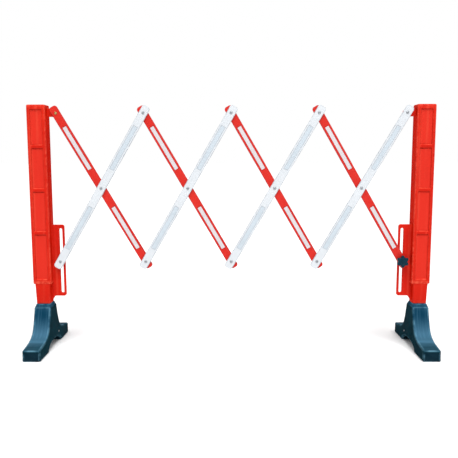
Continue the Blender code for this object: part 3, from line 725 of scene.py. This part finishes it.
def fine_plastic_look(name, main, pale, rough, specular):
    """Small engineering plastics: a fine spark-eroded grain and handling marks."""
    look = Look(name)
    colour = look.mix(main, pale, look.blotches(120.0, 4.0, 0.6, 0.35, 0.75, 0.0, 0.35))
    marks = look.noise(90.0, 6.0, 0.75, (1.0, 1.0, 1.0), 0.8)
    colour = look.mix(colour, pale, look.ranged(marks, 0.60, 0.72, 0.0, 0.35))
    gloss = look.blotches(160.0, 4.0, 0.6, 0.3, 0.7, rough - 0.06, rough + 0.08)
    normal = look.bump(look.noise(1600.0, 2.0, 0.5), 0.22, 0.0003)
    return look.finish(colour, gloss, Normal=normal, Specular_IOR_Level=specular)


def floor_look():
    look = Look("studio_floor")
    colour = look.mix((0.96, 0.96, 0.96), (0.98, 0.98, 0.98), look.noise(3.0, 2.0, 0.5))
    return look.finish(colour, 0.9, Specular_IOR_Level=0.0)


# The red moulding's pale colour also serves as a painted highlight on rims, ledges and edges, and
# its dirt colour as painted shade on the panels' slopes.
RED = moulded_look(
    "red_moulding", deep=(0.52, 0.007, 0.0012), main=(0.60, 0.012, 0.0025),
    pale=(0.78, 0.085, 0.045), dirt_and_shade=(0.25, 0.002, 0.001), rough=0.46, streak=(60.0, 60.0, 1.6),
    specular=0.10, faded=(0.70, 0.033, 0.018))
# The slats' edge colours are painted shade along their rounded edges; their dirt colours also
# serve as painted shade in the tape pockets.
RED_SLAT = moulded_look(
    "red_slat_plastic", deep=(0.56, 0.014, 0.008), main=(0.64, 0.022, 0.013),
    pale=(0.76, 0.08, 0.05), dirt_and_shade=(0.42, 0.010, 0.010), rough=0.44, streak=(220.0, 220.0, 2.5),
    grain=1200.0, specular=0.2, edge=(0.30, 0.020, 0.030))
WHITE_SLAT = moulded_look(
    "white_slat_plastic", deep=(0.61, 0.645, 0.68), main=(0.66, 0.69, 0.72),
    pale=(0.72, 0.73, 0.74), dirt_and_shade=(0.45, 0.49, 0.53), rough=0.38, streak=(220.0, 220.0, 2.5),
    grain=1200.0, specular=0.35, edge=(0.27, 0.30, 0.34))
# The foot's tip colour is painted shade; its pale and worn colours are partly a painted highlight.
FOOT = foot_look(
    "foot_plastic", deep=(0.0005, 0.016, 0.025), main=(0.0012, 0.028, 0.041),
    pale=(0.070, 0.195, 0.300), shin=(0.0022, 0.038, 0.078), tip=(0.0001, 0.010, 0.020),
    dust=(0.16, 0.19, 0.20), worn_and_highlight=(0.13, 0.30, 0.40))
TAPE_ON_RED = tape_look("reflective_tape_on_red", (0.58, 0.545, 0.565), (0.63, 0.60, 0.62))
TAPE_ON_WHITE = tape_look("reflective_tape_on_white", (0.49, 0.555, 0.61), (0.54, 0.605, 0.66))
ZINC = metal_look("zinc_plated_steel", (0.62, 0.63, 0.65), (0.45, 0.46, 0.48), 0.34)
DULL_ZINC = metal_look(
    "weathered_zinc_plating", (0.46, 0.48, 0.51), (0.28, 0.30, 0.32), 0.42, (0.12, 0.12, 0.12))
BRASS = metal_look(
    "yellow_plated_steel", (0.62, 0.47, 0.20), (0.42, 0.30, 0.12), 0.32, (0.20, 0.14, 0.07))
NYLON = fine_plastic_look("grey_nylon", (0.030, 0.030, 0.033), (0.075, 0.075, 0.08), 0.50, 0.4)
KNOB = fine_plastic_look("knob_nylon", (0.0004, 0.018, 0.034), (0.006, 0.060, 0.095), 0.34, 0.12)


# ---- posts ----
def smoothstep(value):
    value = min(max(value, 0.0), 1.0)
    return value * value * (3 - 2 * value)


# The base and top of each sunk panel, from the highest down.
RIB_TOPS = [FIRST_RIB_TOP - rib * RIB_PITCH for rib in range(RIB_COUNT)]
PANELS = list(zip(RIB_TOPS + [PANEL_BASE], [PANEL_TOP] + [top - RIB_HEIGHT for top in RIB_TOPS]))


def inside_panel(x, z):
    """How far a point lies inside the nearest panel's edge, positive inwards."""
    best = -1.0
    for base, top in PANELS:
        qx = abs(x) - (PANEL_WIDTH / 2 - PANEL_CORNER)
        qz = abs(z - (base + top) / 2) - ((top - base) / 2 - PANEL_CORNER)
        outside = math.hypot(max(qx, 0), max(qz, 0)) + min(max(qx, qz), 0) - PANEL_CORNER
        best = max(best, -outside)
    return best


def slope_marks(x, z):
    """A painted highlight, with some wear, on the ledge at the foot of a panel and on its rim, and
    painted shade with some dirt on its top and side slopes.
    """
    deep = inside_panel(x, z)
    slope = math.exp(-((deep / PANEL_SLOPE - 0.55) / 0.45) ** 2)
    rim = math.exp(-((deep - 0.0002) / 0.0011) ** 2)
    reach = PANEL_SLOPE * 1.3
    for base, top in PANELS:
        if abs(x) < PANEL_WIDTH / 2 - PANEL_SLOPE:
            if base - 0.001 < z < base + reach:
                return 1.6 * slope + 1.2 * rim, 0.0
            if top - reach < z < top + 0.001:
                return 0.3 * rim, 0.85 * slope
    return 0.8 * rim, 0.32 * slope


def rib_fall(x, z):
    """How far a rib's crowned face falls back from the border's level."""
    aside = smoothstep((PANEL_WIDTH / 2 - abs(x)) / 0.004)
    for top in RIB_TOPS:
        away = abs(z - top + RIB_HEIGHT / 2) / (RIB_HEIGHT / 2)
        if away < 1.6:
            return RIB_CROWN * aside * min(away, 1.0) ** 2
    return 0.0


def across_edge(edge, way):
    """Places close together from just outside a panel's edge to past the foot of its slope."""
    return [edge + way * step * PANEL_SLOPE / 9 for step in range(-3, 13)]


def post_rows():
    """Heights of the body's rings, close together at the panels' edges."""
    rows = set()
    for base, top in PANELS:
        rows.update(round(z, 6) for z in across_edge(base, 1) + across_edge(top, -1))
    for top in RIB_TOPS:
        rows.update(round(top - RIB_HEIGHT * step / 8, 6) for step in range(1, 8))
    count = int((POST_TOP - POST_BASE) / ROW_PITCH)
    for step in range(1, count):
        z = POST_BASE + step * (POST_TOP - POST_BASE) / count
        if min(abs(z - row) for row in rows) > 0.006:
            rows.add(round(z, 6))
    low, high = POST_BASE + BASE_ROUNDING, POST_TOP - TOP_ROUNDING
    return sorted(row for row in rows if low < row < high)


def face_samples():
    """Places across a post's face, close together at the panels' edges."""
    right = sorted(across_edge(PANEL_WIDTH / 2, -1) + [0.014, 0.007])
    return [-x for x in reversed(right)] + [0.0] + right


def post_ring(z, inset=0.0):
    """One ring of the body, and for each point its wear with painted highlight, and its dirt with
    painted shade.
    """
    half_x, half_y = POST_WIDTH / 2 - inset, POST_DEPTH / 2 - inset
    corner = POST_CORNER - inset * 0.8
    points, wear_and_painted_light, painted_shade_and_dirt = [], [], []

    def add(x, y, rub_and_highlight, dirt_and_shade=0.0):
        points.append((x, y, z))
        wear_and_painted_light.append(rub_and_highlight)
        painted_shade_and_dirt.append(dirt_and_shade)

    def face(side):
        for x in (face_samples() if side < 0 else reversed(face_samples())):
            sunk = PANEL_DEPTH * smoothstep(inside_panel(x, z) / PANEL_SLOPE) + rib_fall(x, z)
            scale = half_x / (POST_WIDTH / 2)
            add(x * scale, side * (half_y - sunk), *slope_marks(x, z))

    def turn(side_x, side_y, start):
        for step in range(6):
            angle = math.radians(start + 90 * step / 5)
            # The corners' wear also serves as a painted highlight.
            rub_and_highlight = 1.1 * math.sin(math.pi * step / 5) ** 0.5
            x = side_x * (half_x - corner) + corner * math.cos(angle)
            add(x, side_y * (half_y - corner) + corner * math.sin(angle), rub_and_highlight)

    def flank(side):
        for y in (-0.016, -0.0016, -0.0008, 0.0, 0.0008, 0.0016, 0.016):
            seam = SEAM_HEIGHT * math.exp(-(y / SEAM_SPREAD) ** 2)
            add(side * (half_x + seam), side * y, 0.25 if seam > 0.0002 else 0.0)

    face(-1)
    turn(1, -1, -90)
    flank(1)
    turn(1, 1, 0)
    face(1)
    turn(-1, 1, 90)
    flank(-1)
    turn(-1, -1, 180)
    return points, wear_and_painted_light, painted_shade_and_dirt


def body_mesh():
    """The post's box-shaped body with its sunk panels."""
    stations = []
    # The rounded base edge carries a strong painted highlight with its wear, the top edge a
    # lighter one.
    for inset, rise in reversed(rounding(BASE_ROUNDING, 5, 1)):
        stations.append((post_ring(POST_BASE + rise, inset)[0], 2.4, 0.0))
    stations += [post_ring(z) for z in post_rows()]
    for inset, drop in rounding(TOP_ROUNDING, 5, 1):
        stations.append((post_ring(POST_TOP - drop, inset)[0], 1.3, 0.0))
    return loft(*zip(*stations))


def box_ring(width, depth, corner, z):
    return [(x, y, z) for x, y in rounded_rectangle(width, depth, corner, 6)]


def neck_mesh():
    """The neck, which flares up to the body."""
    stations = []
    for rise, inset, wear_and_painted_light in ((0.0, 0.0015, 0.3), (0.0005, 0.0005, 1.0), (0.0018, 0.0, 0.6)):
        width = NECK_WIDTH - 2 * inset
        stations.append((box_ring(width, width, BOX_CORNER, NECK_BASE + rise), wear_and_painted_light))
    count = 8
    start = NECK_BASE + 0.004
    for step in range(1, count + 1):
        share = step / count
        z = start + (NECK_TOP - start) * share
        flare = NECK_FLARE * share + NECK_LIP * smoothstep((z - POST_BASE + 0.006) / 0.006)
        width = NECK_WIDTH + flare
        stations.append((box_ring(width, width, BOX_CORNER + flare / 4, z), 0.0))
    return loft(*zip(*stations))


def plate_mesh(outline, hole):
    return slab(outline, PLATE_THICKNESS / 2, PLATE_ROUNDING, [hole], margin=0.001)


def bracket_mesh():
    """The plate beside the post, with the slot that a slider runs in."""
    high, low = BRACKET_TOP - BRACKET_CORNER, BRACKET_BASE + BRACKET_CORNER
    edge = BRACKET_EDGE - BRACKET_CORNER
    outline = [
        (BRACKET_ROOT_X, NECK_BASE + 0.003),
        (GUSSET_BASE_X - 0.001, NECK_BASE + 0.003),
        (GUSSET_TOP_X - 0.002, BRACKET_BASE - 0.003),
        (GUSSET_TOP_X, BRACKET_BASE - 0.0008),
        (GUSSET_TOP_X + 0.003, BRACKET_BASE),
    ]
    outline += arc((edge, low), BRACKET_CORNER, -90, 0, 7)
    outline += arc((edge, high), BRACKET_CORNER, 0, 90, 7)
    outline.append((BRACKET_ROOT_X, BRACKET_TOP))
    centre = (PIVOT_OFFSET, (SLOT_TOP + SLOT_BASE) / 2)
    slot = rounded_rectangle(SLOT_WIDTH, SLOT_TOP - SLOT_BASE, SLOT_WIDTH / 2, 8, centre)
    return plate_mesh(outline, slot)


def lug_mesh():
    """The ear at the post's top that holds a slat's end."""
    outline = arc((PIVOT_OFFSET, TOP_PIVOT_Z), LUG_RADIUS, -90, 75, 14)
    outline.append((PLATE_ROOT_X, TOP_PIVOT_Z + LUG_ROOT_HEIGHT))
    outline.append((PLATE_ROOT_X, TOP_PIVOT_Z - LUG_RADIUS))
    return plate_mesh(outline, pivot_hole(PIVOT_OFFSET, TOP_PIVOT_Z))


def fillet_mesh(low, high):
    """A small moulded fillet where a plate meets the post's side."""
    x, half = POST_WIDTH / 2, PLATE_THICKNESS / 2
    rings = []
    for z, radius in (
            (low, 0.0), (low + 0.002, PLATE_FILLET), (high - 0.002, PLATE_FILLET), (high, 0.0)):
        curve = [(x + drop, half + inset + 0.0001, z) for inset, drop in rounding(radius, 5)]
        section = [(out, -up, z) for out, up, z in curve] + curve[::-1]
        section += [(x - 0.004, half, z), (x - 0.004, -half, z)]
        rings.append(section)
    return loft(rings)


def post_mesh():
    """The left post's moulding."""
    spigot = lathe([
        (0, SPIGOT_BASE), (SPIGOT_RADIUS - 0.001, SPIGOT_BASE),
        (SPIGOT_RADIUS, SPIGOT_BASE + 0.001), (SPIGOT_RADIUS, SPIGOT_TOP),
        (0, SPIGOT_TOP)], axis="Z")
    return joined([
        body_mesh(), neck_mesh(), bracket_mesh(), lug_mesh(), spigot,
        fillet_mesh(BRACKET_BASE + 0.060, BRACKET_TOP - 0.001),
        fillet_mesh(TOP_PIVOT_Z - LUG_RADIUS + 0.001, TOP_PIVOT_Z + LUG_RADIUS),
    ])


# ---- feet ----
def foot_outline():
    """The foot's side view as x and z, with its corners rounded."""
    half = [(TOE_INNER_Y * math.sin(angle), ARCH_HEIGHT * math.cos(angle), 0)
            for angle in quarter(8)[:-1]]
    end = FOOT_LENGTH / 2
    half += [(TOE_INNER_Y, 0.0, 0.003), (end, 0.0, 0.004), (end, TOE_HEIGHT, 0.006)]
    base = Vector((TOE_ROOT_Y, TOE_ROOT_HEIGHT))
    top = Vector((FOOT_TOP_LENGTH / 2, FOOT_TOP))
    handles = base + Vector(LEG_HANDLE_BASE), top + Vector(LEG_HANDLE_TOP)
    curve = interpolate_bezier(base, *handles, top, LEG_STEPS)
    half += [(point.x, point.y, 0) for point in curve[:-1]]
    half.append((top.x, top.y, 0.003))
    return filleted(half + [(-x, z, radius) for x, z, radius in reversed(half[1:])])


def foot_mesh():
    """The foot, lying along y, with its collar, socket and the recess for its bolt."""
    mesh = slab(foot_outline(), FOOT_WIDTH / 2, FOOT_ROUNDING, margin=0.003)
    mesh.transform(Matrix.Rotation(math.pi / 2, 4, "Z"))
    mesh = cut(mesh, lathe([
        (0, -CUT_REACH), (RECESS_RADIUS, -CUT_REACH), (RECESS_RADIUS, RECESS_TOP),
        (SWIVEL_HOLE_RADIUS, RECESS_TOP), (SWIVEL_HOLE_RADIUS, SOCKET_BASE),
        (SOCKET_RADIUS, SOCKET_BASE), (SOCKET_RADIUS, FOOT_TOP + CUT_REACH),
        (0, FOOT_TOP + CUT_REACH)], axis="Z"))
    for vert in mesh.vertices:
        if abs(vert.co.x) > SOCKET_RADIUS * 1.2:
            vert.co.x *= 1 - FOOT_DRAFT / FOOT_WIDTH * vert.co.z / FOOT_TOP
    return joined([mesh, collar_mesh()])


def collar_mesh():
    """The ring round the socket's mouth, tapering up to meet the post's neck."""
    stations = []
    for z, inset, wear_and_painted_light in (
            (COLLAR_BASE, 0.0, 0.0), (FOOT_TOP + 0.001, 0.0, 0.2), (COLLAR_TOP - 0.0035, 0.0, 0.1),
            (COLLAR_TOP - 0.0010, 0.0002, 1.0), (COLLAR_TOP - 0.0003, 0.0006, 1.0),
            (COLLAR_TOP, 0.0014, 0.6)):
        spread = COLLAR_FLARE * (COLLAR_TOP - z) / (COLLAR_TOP - FOOT_TOP) - 2 * inset
        width, length = COLLAR_WIDTH + spread, COLLAR_LENGTH + spread
        stations.append((box_ring(width, length, BOX_CORNER, z), wear_and_painted_light))
    for radius, z in (
            (SOCKET_RADIUS + 0.001, COLLAR_TOP), (SOCKET_RADIUS, COLLAR_TOP - 0.001),
            (SOCKET_RADIUS, COLLAR_BASE)):
        stations.append((bored(stations[0][0], radius, z, 2), 0.0))
    return loft(*zip(*stations), round_trip=True)


def foot_screw_mesh():
    """A pan-head screw along +x, with a cross recess in its head."""
    low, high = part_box("left_foot_screw")
    length, radius = high.x - low.x, (high.z - low.z) / 2
    head = length - 0.0019
    mesh = lathe([
        (0, 0), (radius * 0.45, 0), (radius * 0.45, head), (radius * 0.92, head),
        (radius, head + 0.0003), (radius, head + 0.0009), (radius * 0.85, head + 0.0014),
        (radius * 0.5, head + 0.0018), (0, length)], 40, "X")
    for wide, tall in ((0.28, 1.3), (1.3, 0.28)):
        bar = bmesh.new()
        size = (0.0016, radius * wide, radius * tall)
        bmesh.ops.create_cube(bar, matrix=Matrix.LocRotScale((length, 0, 0), None, size))
        mesh = cut(mesh, mesh_of(bar))
    return mesh


def end_frames():
    """Both posts and feet. The right ones mirror the left ones."""
    meshes = post_mesh(), foot_mesh(), foot_screw_mesh()
    for name in ("left", "right"):
        post, foot, screw = [mesh.copy() if name == "left" else mirrored(mesh) for mesh in meshes]
        x = extent(f"{name}_foot")[2].x
        stand_in(f"{name}_post", "moulding", post, RED, (x, 0, 0))
        stand_in(f"{name}_foot", "moulding", foot, FOOT, (x, 0, 0))
        node = f"{name}_foot_screw"
        low, high, place = extent(node)
        place.x = low.x if name == "left" else high.x
        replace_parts(piece(f"{name}_foot_pan_screw", screw, ZINC, f"{name}_foot", place), node)


# ---- slats and tapes ----
def slat_mesh():
    """A slat along z with its middle pivot at the origin, and a pocket for each tape."""
    outline = rounded_rectangle(SLAT_WIDTH, SLAT_SPAN + 2 * SLAT_END, SLAT_CORNER, 8)
    holes = [pivot_hole(0, z) for z in (-SLAT_SPAN / 2, 0, SLAT_SPAN / 2)]
    pockets = []
    for z in (-TAPE_OFFSET, TAPE_OFFSET):
        pockets.append(rounded_rectangle(POCKET_WIDTH, POCKET_LENGTH, 0.002, 4, (0, z)))
    return slab(outline, SLAT_THICKNESS / 2, SLAT_ROUNDING, holes, pockets,
                POCKET_DEPTH, POCKET_SLOPE, margin=0.0012)


def tape_mesh(z, side):
    """A strip of sheeting on the floor of a pocket, at the front or the back."""
    outline = rounded_rectangle(TAPE_WIDTH, TAPE_LENGTH, 0.0012, 4)
    mesh = slab(outline, TAPE_THICKNESS / 2, 0.00012, margin=0.0002)
    floor = SLAT_THICKNESS / 2 - POCKET_DEPTH + TAPE_LIFT
    mesh.transform(Matrix.Translation((0, side * (floor + TAPE_THICKNESS / 2), z)))
    return mesh


def slats():
    mesh = slat_mesh()
    for colour, lean, slat_skin, tape_skin in (
            ("red", -SLAT_LEAN, RED_SLAT, TAPE_ON_RED),
            ("white", SLAT_LEAN, WHITE_SLAT, TAPE_ON_WHITE)):
        for number in range(1, 5):
            slat = f"{colour}_slat_{number}"
            place = extent(slat)[2]
            stand_in(slat, "moulding", mesh.copy(), slat_skin, place, lean)
            for end, z in (("lower", -TAPE_OFFSET), ("upper", TAPE_OFFSET)):
                tape = f"{colour}_tape_{number}_{end}"
                stand_in(tape, "front", tape_mesh(z, -1), tape_skin, place, lean)
                back = piece(f"{tape}_back", tape_mesh(z, 1), tape_skin, slat, place, lean)


# ---- rivets, washers and bushes ----
def rivet_mesh(back, front, collar=None):
    """A rivet with a domed, dimpled head at each end. Places are along y, the back one larger."""
    radius, head, rise = RIVET_RADIUS, RIVET_HEAD_RADIUS, RIVET_HEAD_RISE

    def dome(seat, way):
        points = [(head - 0.0003, 0.0), (head, 0.0003), (head, RIVET_RIM)]
        for angle in quarter(5)[1:]:
            across = RIVET_CROWN_RADIUS + (head - RIVET_CROWN_RADIUS) * math.cos(angle)
            points.append((across, RIVET_RIM + (rise - RIVET_RIM) * math.sin(angle)))
        points += [(0.0015, rise - 0.0001), (0.0011, rise - 0.0008), (0, rise - 0.0010)]
        return [(across, seat + way * up) for across, up in points]

    profile = list(reversed(dome(back, 1))) + [(radius, back)]
    if collar:
        wide, chamfer = RIVET_COLLAR_RADIUS, 0.0003
        profile += [(radius, collar[0]), (wide - chamfer, collar[0]), (wide, collar[0] - chamfer),
                    (wide, collar[1] + chamfer), (wide - chamfer, collar[1]), (radius, collar[1])]
    profile += [(radius, front)] + dome(front, -1)
    return lathe(profile, 40)


def rivets():
    """Every rivet, at its CAD node's place and of its length."""
    between = (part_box("red_slat_1")[0].y - GAP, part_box("white_slat_1")[1].y + GAP)
    rows = (("crossing", 4), ("top", 3), ("bottom", 3))
    inner = [f"{row}_rivet_{number + 1}" for row, count in rows for number in range(count)]
    for node in inner + ["left_lug_rivet", "right_lug_rivet", "left_slider_rivet"]:
        low, high, middle = extent(node)
        collar = between if node in inner else None
        mesh = rivet_mesh(high.y - RIVET_HEAD_RISE, low.y + RIVET_HEAD_RISE, collar)
        skin = BRASS if node == "left_lug_rivet" else DULL_ZINC
        stand_in(node, "domed", mesh, skin, (middle.x, 0, middle.z))


def ring_piece(node, inner, skin, axis="Y"):
    """A turned washer or bush in place of its CAD node, its edges cut back."""
    low, high, place = extent(node)
    size = high - low
    outer = (size.x if axis == "Z" else size.z) / 2
    along = "XYZ".index(axis)
    start, end = low[along], high[along]
    edge, half = 0.0004, 0.0002
    profile = [
        (inner, start + half), (inner + half, start), (outer - edge, start), (outer, start + edge),
        (outer, end - edge), (outer - edge, end), (inner + half, end), (inner, end - half)]
    place[along] = 0
    stand_in(node, "turned", lathe(profile, axis=axis), skin, place)


def rings():
    for node in ("left_lug_washer", "right_lug_bush", "left_slider_bush"):
        ring_piece(node, PIVOT_HOLE_RADIUS, NYLON)
    for node in ("left_slider_washer", "clamp_bolt_washer", "clamp_washer"):
        ring_piece(node, PIVOT_HOLE_RADIUS, ZINC)


# ---- knob ----
def knob_mesh(depth):
    """A six-lobed star knob on a hub, with a dished cap. Its back is at y = 0."""
    hub, star_back, front = KNOB_HUB_RADIUS, -KNOB_HUB_HEIGHT, -depth
    stations = [
        (0, PIVOT_HOLE_RADIUS, 0.0), (0, hub - 0.0006, 0.0), (0, hub, -0.0006),
        (0, hub, star_back + 0.0008), (0, hub + 0.0008, star_back)]
    for fall, inset in rounding(KNOB_BACK_ROUNDING, 4):
        stations.append((KNOB_LOBE, KNOB_RADIUS - inset, star_back - fall))
    for inset, rise in rounding(KNOB_FRONT_ROUNDING, 6):
        stations.append((KNOB_LOBE, KNOB_RADIUS - inset, front + KNOB_CROWN + rise))
    for radius, rise in (
            (0.0122, 0.0002), (0.0105, 0.0), (0.0098, 0.0007), (0.0092, 0.0009),
            (0.0086, 0.0002), (0.0050, 0.0)):
        stations.append((0, radius, front + rise))
    rings = []
    for lobe, radius, y in stations:
        points = []
        for angle in turned(KNOB_SIDES):
            reach = radius + lobe * math.cos(KNOB_LOBES * angle)
            points.append((reach * math.sin(angle), y, reach * math.cos(angle)))
        rings.append(points)
    return loft(rings)


def knob():
    low, high, middle = extent("star_knob")
    mesh = knob_mesh(high.y - low.y)
    stand_in("star_knob", "moulding", mesh, KNOB, (middle.x, high.y, middle.z))


# ---- sliders and bolts ----
def slider_piece(node):
    """A slider: a block with round ends in the slot, a softened flange before it and a bore."""
    low, high, middle = extent(node)
    back, flange_back = high.y, low.y + FLANGE_THICKNESS
    stations = []

    def add(wide, tall, corner, inset, y, wear_and_painted_light):
        outline = rounded_rectangle(wide - 2 * inset, tall - 2 * inset, corner - inset, 7)
        stations.append(([(x, y, z) for x, z in outline], wear_and_painted_light))

    wide, tall = SLOT_WIDTH - 2 * GAP, SLIDER_HEIGHT
    for inset, y, wear_and_painted_light in (
            (0.0007, back, 0.5), (0.0002, back - 0.0002, 0.5), (0.0, back - 0.0007, 0.5),
            (0.0, flange_back, 0.0)):
        add(wide, tall, wide / 2, inset, y, wear_and_painted_light)
    for inset, y in (
            (0.0003, flange_back), (0.0, flange_back - 0.0003), (0.0, low.y + 0.0006),
            (0.0002, low.y + 0.0002), (0.0006, low.y)):
        add(high.x - low.x, high.z - low.z, SLIDER_CORNER, inset, y, 0.6)
    for y in (low.y, back):
        stations.append((bored(stations[0][0], PIVOT_HOLE_RADIUS, y, 1), 0.0))
    mesh = loft(*zip(*stations), round_trip=True)
    stand_in(node, "moulding", mesh, NYLON, (middle.x, 0, middle.z))


def threaded(radius, start, end, sides):
    """Rings of a thread that climbs along y from start to end."""
    rings = []
    steps = 4
    count = int(abs(end - start) / THREAD_PITCH * steps)
    for step in range(count + 1):
        y = start + (end - start) * step / count
        fade = min(step, count - step, steps) / steps
        points = []
        for number, angle in enumerate(turned(sides)):
            phase = (abs(y - start) / THREAD_PITCH + number / sides) % 1.0
            reach = radius - THREAD_DEPTH * fade * abs(2 * phase - 1)
            points.append((reach * math.cos(angle), y, reach * math.sin(angle)))
        rings.append(points)
    return rings


def clamp_bolt():
    """The knob's bolt: a low domed head at the back, a plain shank and a threaded front end."""
    low, high, middle = extent("clamp_bolt")
    wide, radius, sides = (high.z - low.z) / 2, CLAMP_SHANK_RADIUS, 32
    seat = high.y - CLAMP_HEAD_RISE
    dome = []
    for angle in quarter(6):
        fall = (CLAMP_HEAD_RISE - 0.0012) * (1 - math.cos(angle))
        dome.append((max(wide * math.sin(angle), TIP_RADIUS), high.y - fall))
    dome += [(wide, seat + 0.0004), (wide - 0.0004, seat), (radius, seat), (radius, seat - 0.004)]
    tip = [(radius - 0.0008, low.y + 0.0002), (radius - 0.0012, low.y), (TIP_RADIUS, low.y)]
    rings = [circle(*station, sides) for station in dome]
    rings += threaded(radius, seat - 0.0042, low.y + 0.0012, sides)
    rings += [circle(*station, sides) for station in tip]
    stand_in("clamp_bolt", "threaded", loft(rings), ZINC, (middle.x, 0, middle.z))


def swivel_bolt(node):
    """A hexagon bolt, its head's corners cut back by a cone, with a rolled thread above."""
    low, high, middle = extent(node)
    across = max(high.x - low.x, high.y - low.y) / 2
    flat = across * math.cos(math.pi / 6)
    radius, sides = SWIVEL_SHANK_RADIUS, 24
    seat = low.z + SWIVEL_HEAD_RISE

    def hexagon(z, cone, share=1.0):
        points = []
        for angle in turned(sides):
            reach = flat / math.cos((angle + math.pi / 6) % (math.pi / 3) - math.pi / 6)
            reach = min(reach, cone) * share
            points.append((reach * math.cos(angle), reach * math.sin(angle), z))
        return points

    dish = low.z + 0.0003
    rings = [hexagon(dish, flat, 0.06), hexagon(dish, flat * 0.99, 0.80)]
    rings.append(hexagon(low.z, flat * 0.99, 0.84))
    for step in range(6):
        share = step / 5
        rings.append(hexagon(low.z + 0.0008 * share, flat * 0.95 + (across - flat * 0.95) * share))
    rings += [hexagon(seat - 0.0004, across), hexagon(seat, across - 0.0004)]
    shank_end = seat + SWIVEL_SHANK_LENGTH
    shank = [circle(radius, seat, sides), circle(radius, shank_end, sides)]
    shank += threaded(radius, shank_end + 0.001, high.z - 0.0015, sides)
    tip = ((radius - 0.0009, high.z - 0.0002), (radius - 0.0014, high.z), (TIP_RADIUS, high.z))
    shank += [circle(*station, sides) for station in tip]
    rings += [[(x, z, y) for x, y, z in points] for points in shank]
    stand_in(node, "hexagon", loft(rings), ZINC, (middle.x, middle.y, 0))


def sliders_and_bolts():
    slider_piece("left_slider")
    slider_piece("right_slider")
    clamp_bolt()
    for side in ("left", "right"):
        swivel_bolt(f"{side}_swivel_bolt")
        ring_piece(f"{side}_swivel_washer", SWIVEL_HOLE_RADIUS, ZINC, "Z")


# ---- studio ----
def area_light(name, place, target, size, power):
    data = bpy.data.lights.new(name, "AREA")
    data.shape = "RECTANGLE"
    data.size, data.size_y = size
    data.energy = power
    lamp = add_object(name, data)
    lamp.location = place
    lamp.rotation_euler = (Vector(target) - Vector(place)).to_track_quat("-Z", "Y").to_euler()


def white_sky():
    """A soft white light from all round, and plain white behind the object."""
    world = bpy.data.worlds.new("studio")
    bpy.context.scene.world = world
    world.use_nodes = True
    tree = world.node_tree
    light = tree.nodes["Background"]
    light.inputs["Strength"].default_value = 0.42
    light.inputs["Color"].default_value = (1, 1, 1, 1)
    sky = tree.nodes.new("ShaderNodeBackground")
    sky.inputs["Color"].default_value = (1, 1, 1, 1)
    either = tree.nodes.new("ShaderNodeMixShader")
    seen = tree.nodes.new("ShaderNodeLightPath")
    tree.links.new(seen.outputs["Is Camera Ray"], either.inputs["Fac"])
    tree.links.new(light.outputs[0], either.inputs[1])
    tree.links.new(sky.outputs[0], either.inputs[2])
    tree.links.new(either.outputs[0], tree.nodes["World Output"].inputs["Surface"])


def studio():
    """A pale floor under a white sky, a broad soft sun and three softboxes."""
    build = bmesh.new()
    bmesh.ops.create_grid(build, x_segments=2, y_segments=2, size=60.0)
    floor = add_object("studio_floor", mesh_of(build))
    floor.data.materials.append(floor_look())
    white_sky()
    sun = bpy.data.lights.new("soft_sun", "SUN")
    sun.energy = 2.6
    sun.angle = math.radians(40)
    add_object("soft_sun", sun).rotation_euler = (math.radians(25), 0, math.radians(8))
    area_light("overhead", (0.0, -1.2, 3.2), (0.0, 0.0, 0.4), (3.2, 2.2), 18)
    area_light("front", (0.8, -4.4, 1.8), (0.0, 0.0, 0.5), (2.6, 1.8), 19)
    area_light("behind", (-0.8, 4.0, 2.2), (0.0, 0.0, 0.5), (2.6, 1.8), 26)
    bpy.context.scene.view_settings.view_transform = "Standard"


def camera():
    """In front of the barrier's middle, about 0.8 m above the floor, looking a little down."""
    level = math.cos(VIEW_PITCH)
    look = Vector((math.sin(VIEW_YAW) * level, math.cos(VIEW_YAW) * level, -math.sin(VIEW_PITCH)))
    right = Vector((math.cos(VIEW_YAW), -math.sin(VIEW_YAW), 0))
    up = right.cross(look)
    right_rolled = math.cos(VIEW_ROLL) * right + math.sin(VIEW_ROLL) * up
    up_rolled = math.cos(VIEW_ROLL) * up - math.sin(VIEW_ROLL) * right
    data = bpy.data.cameras.new("viewer")
    data.sensor_width = SENSOR_WIDTH
    data.lens = FOCAL_PIXELS * SENSOR_WIDTH / IMAGE_WIDTH
    made = add_object("viewer", data)
    basis = Matrix((right_rolled, up_rolled, -look)).transposed()
    made.matrix_world = Matrix.Translation(VIEW_PLACE) @ basis.to_4x4()
    bpy.context.scene.camera = made


end_frames()
slats()
rivets()
rings()
knob()
sliders_and_bolts()
studio()
camera()
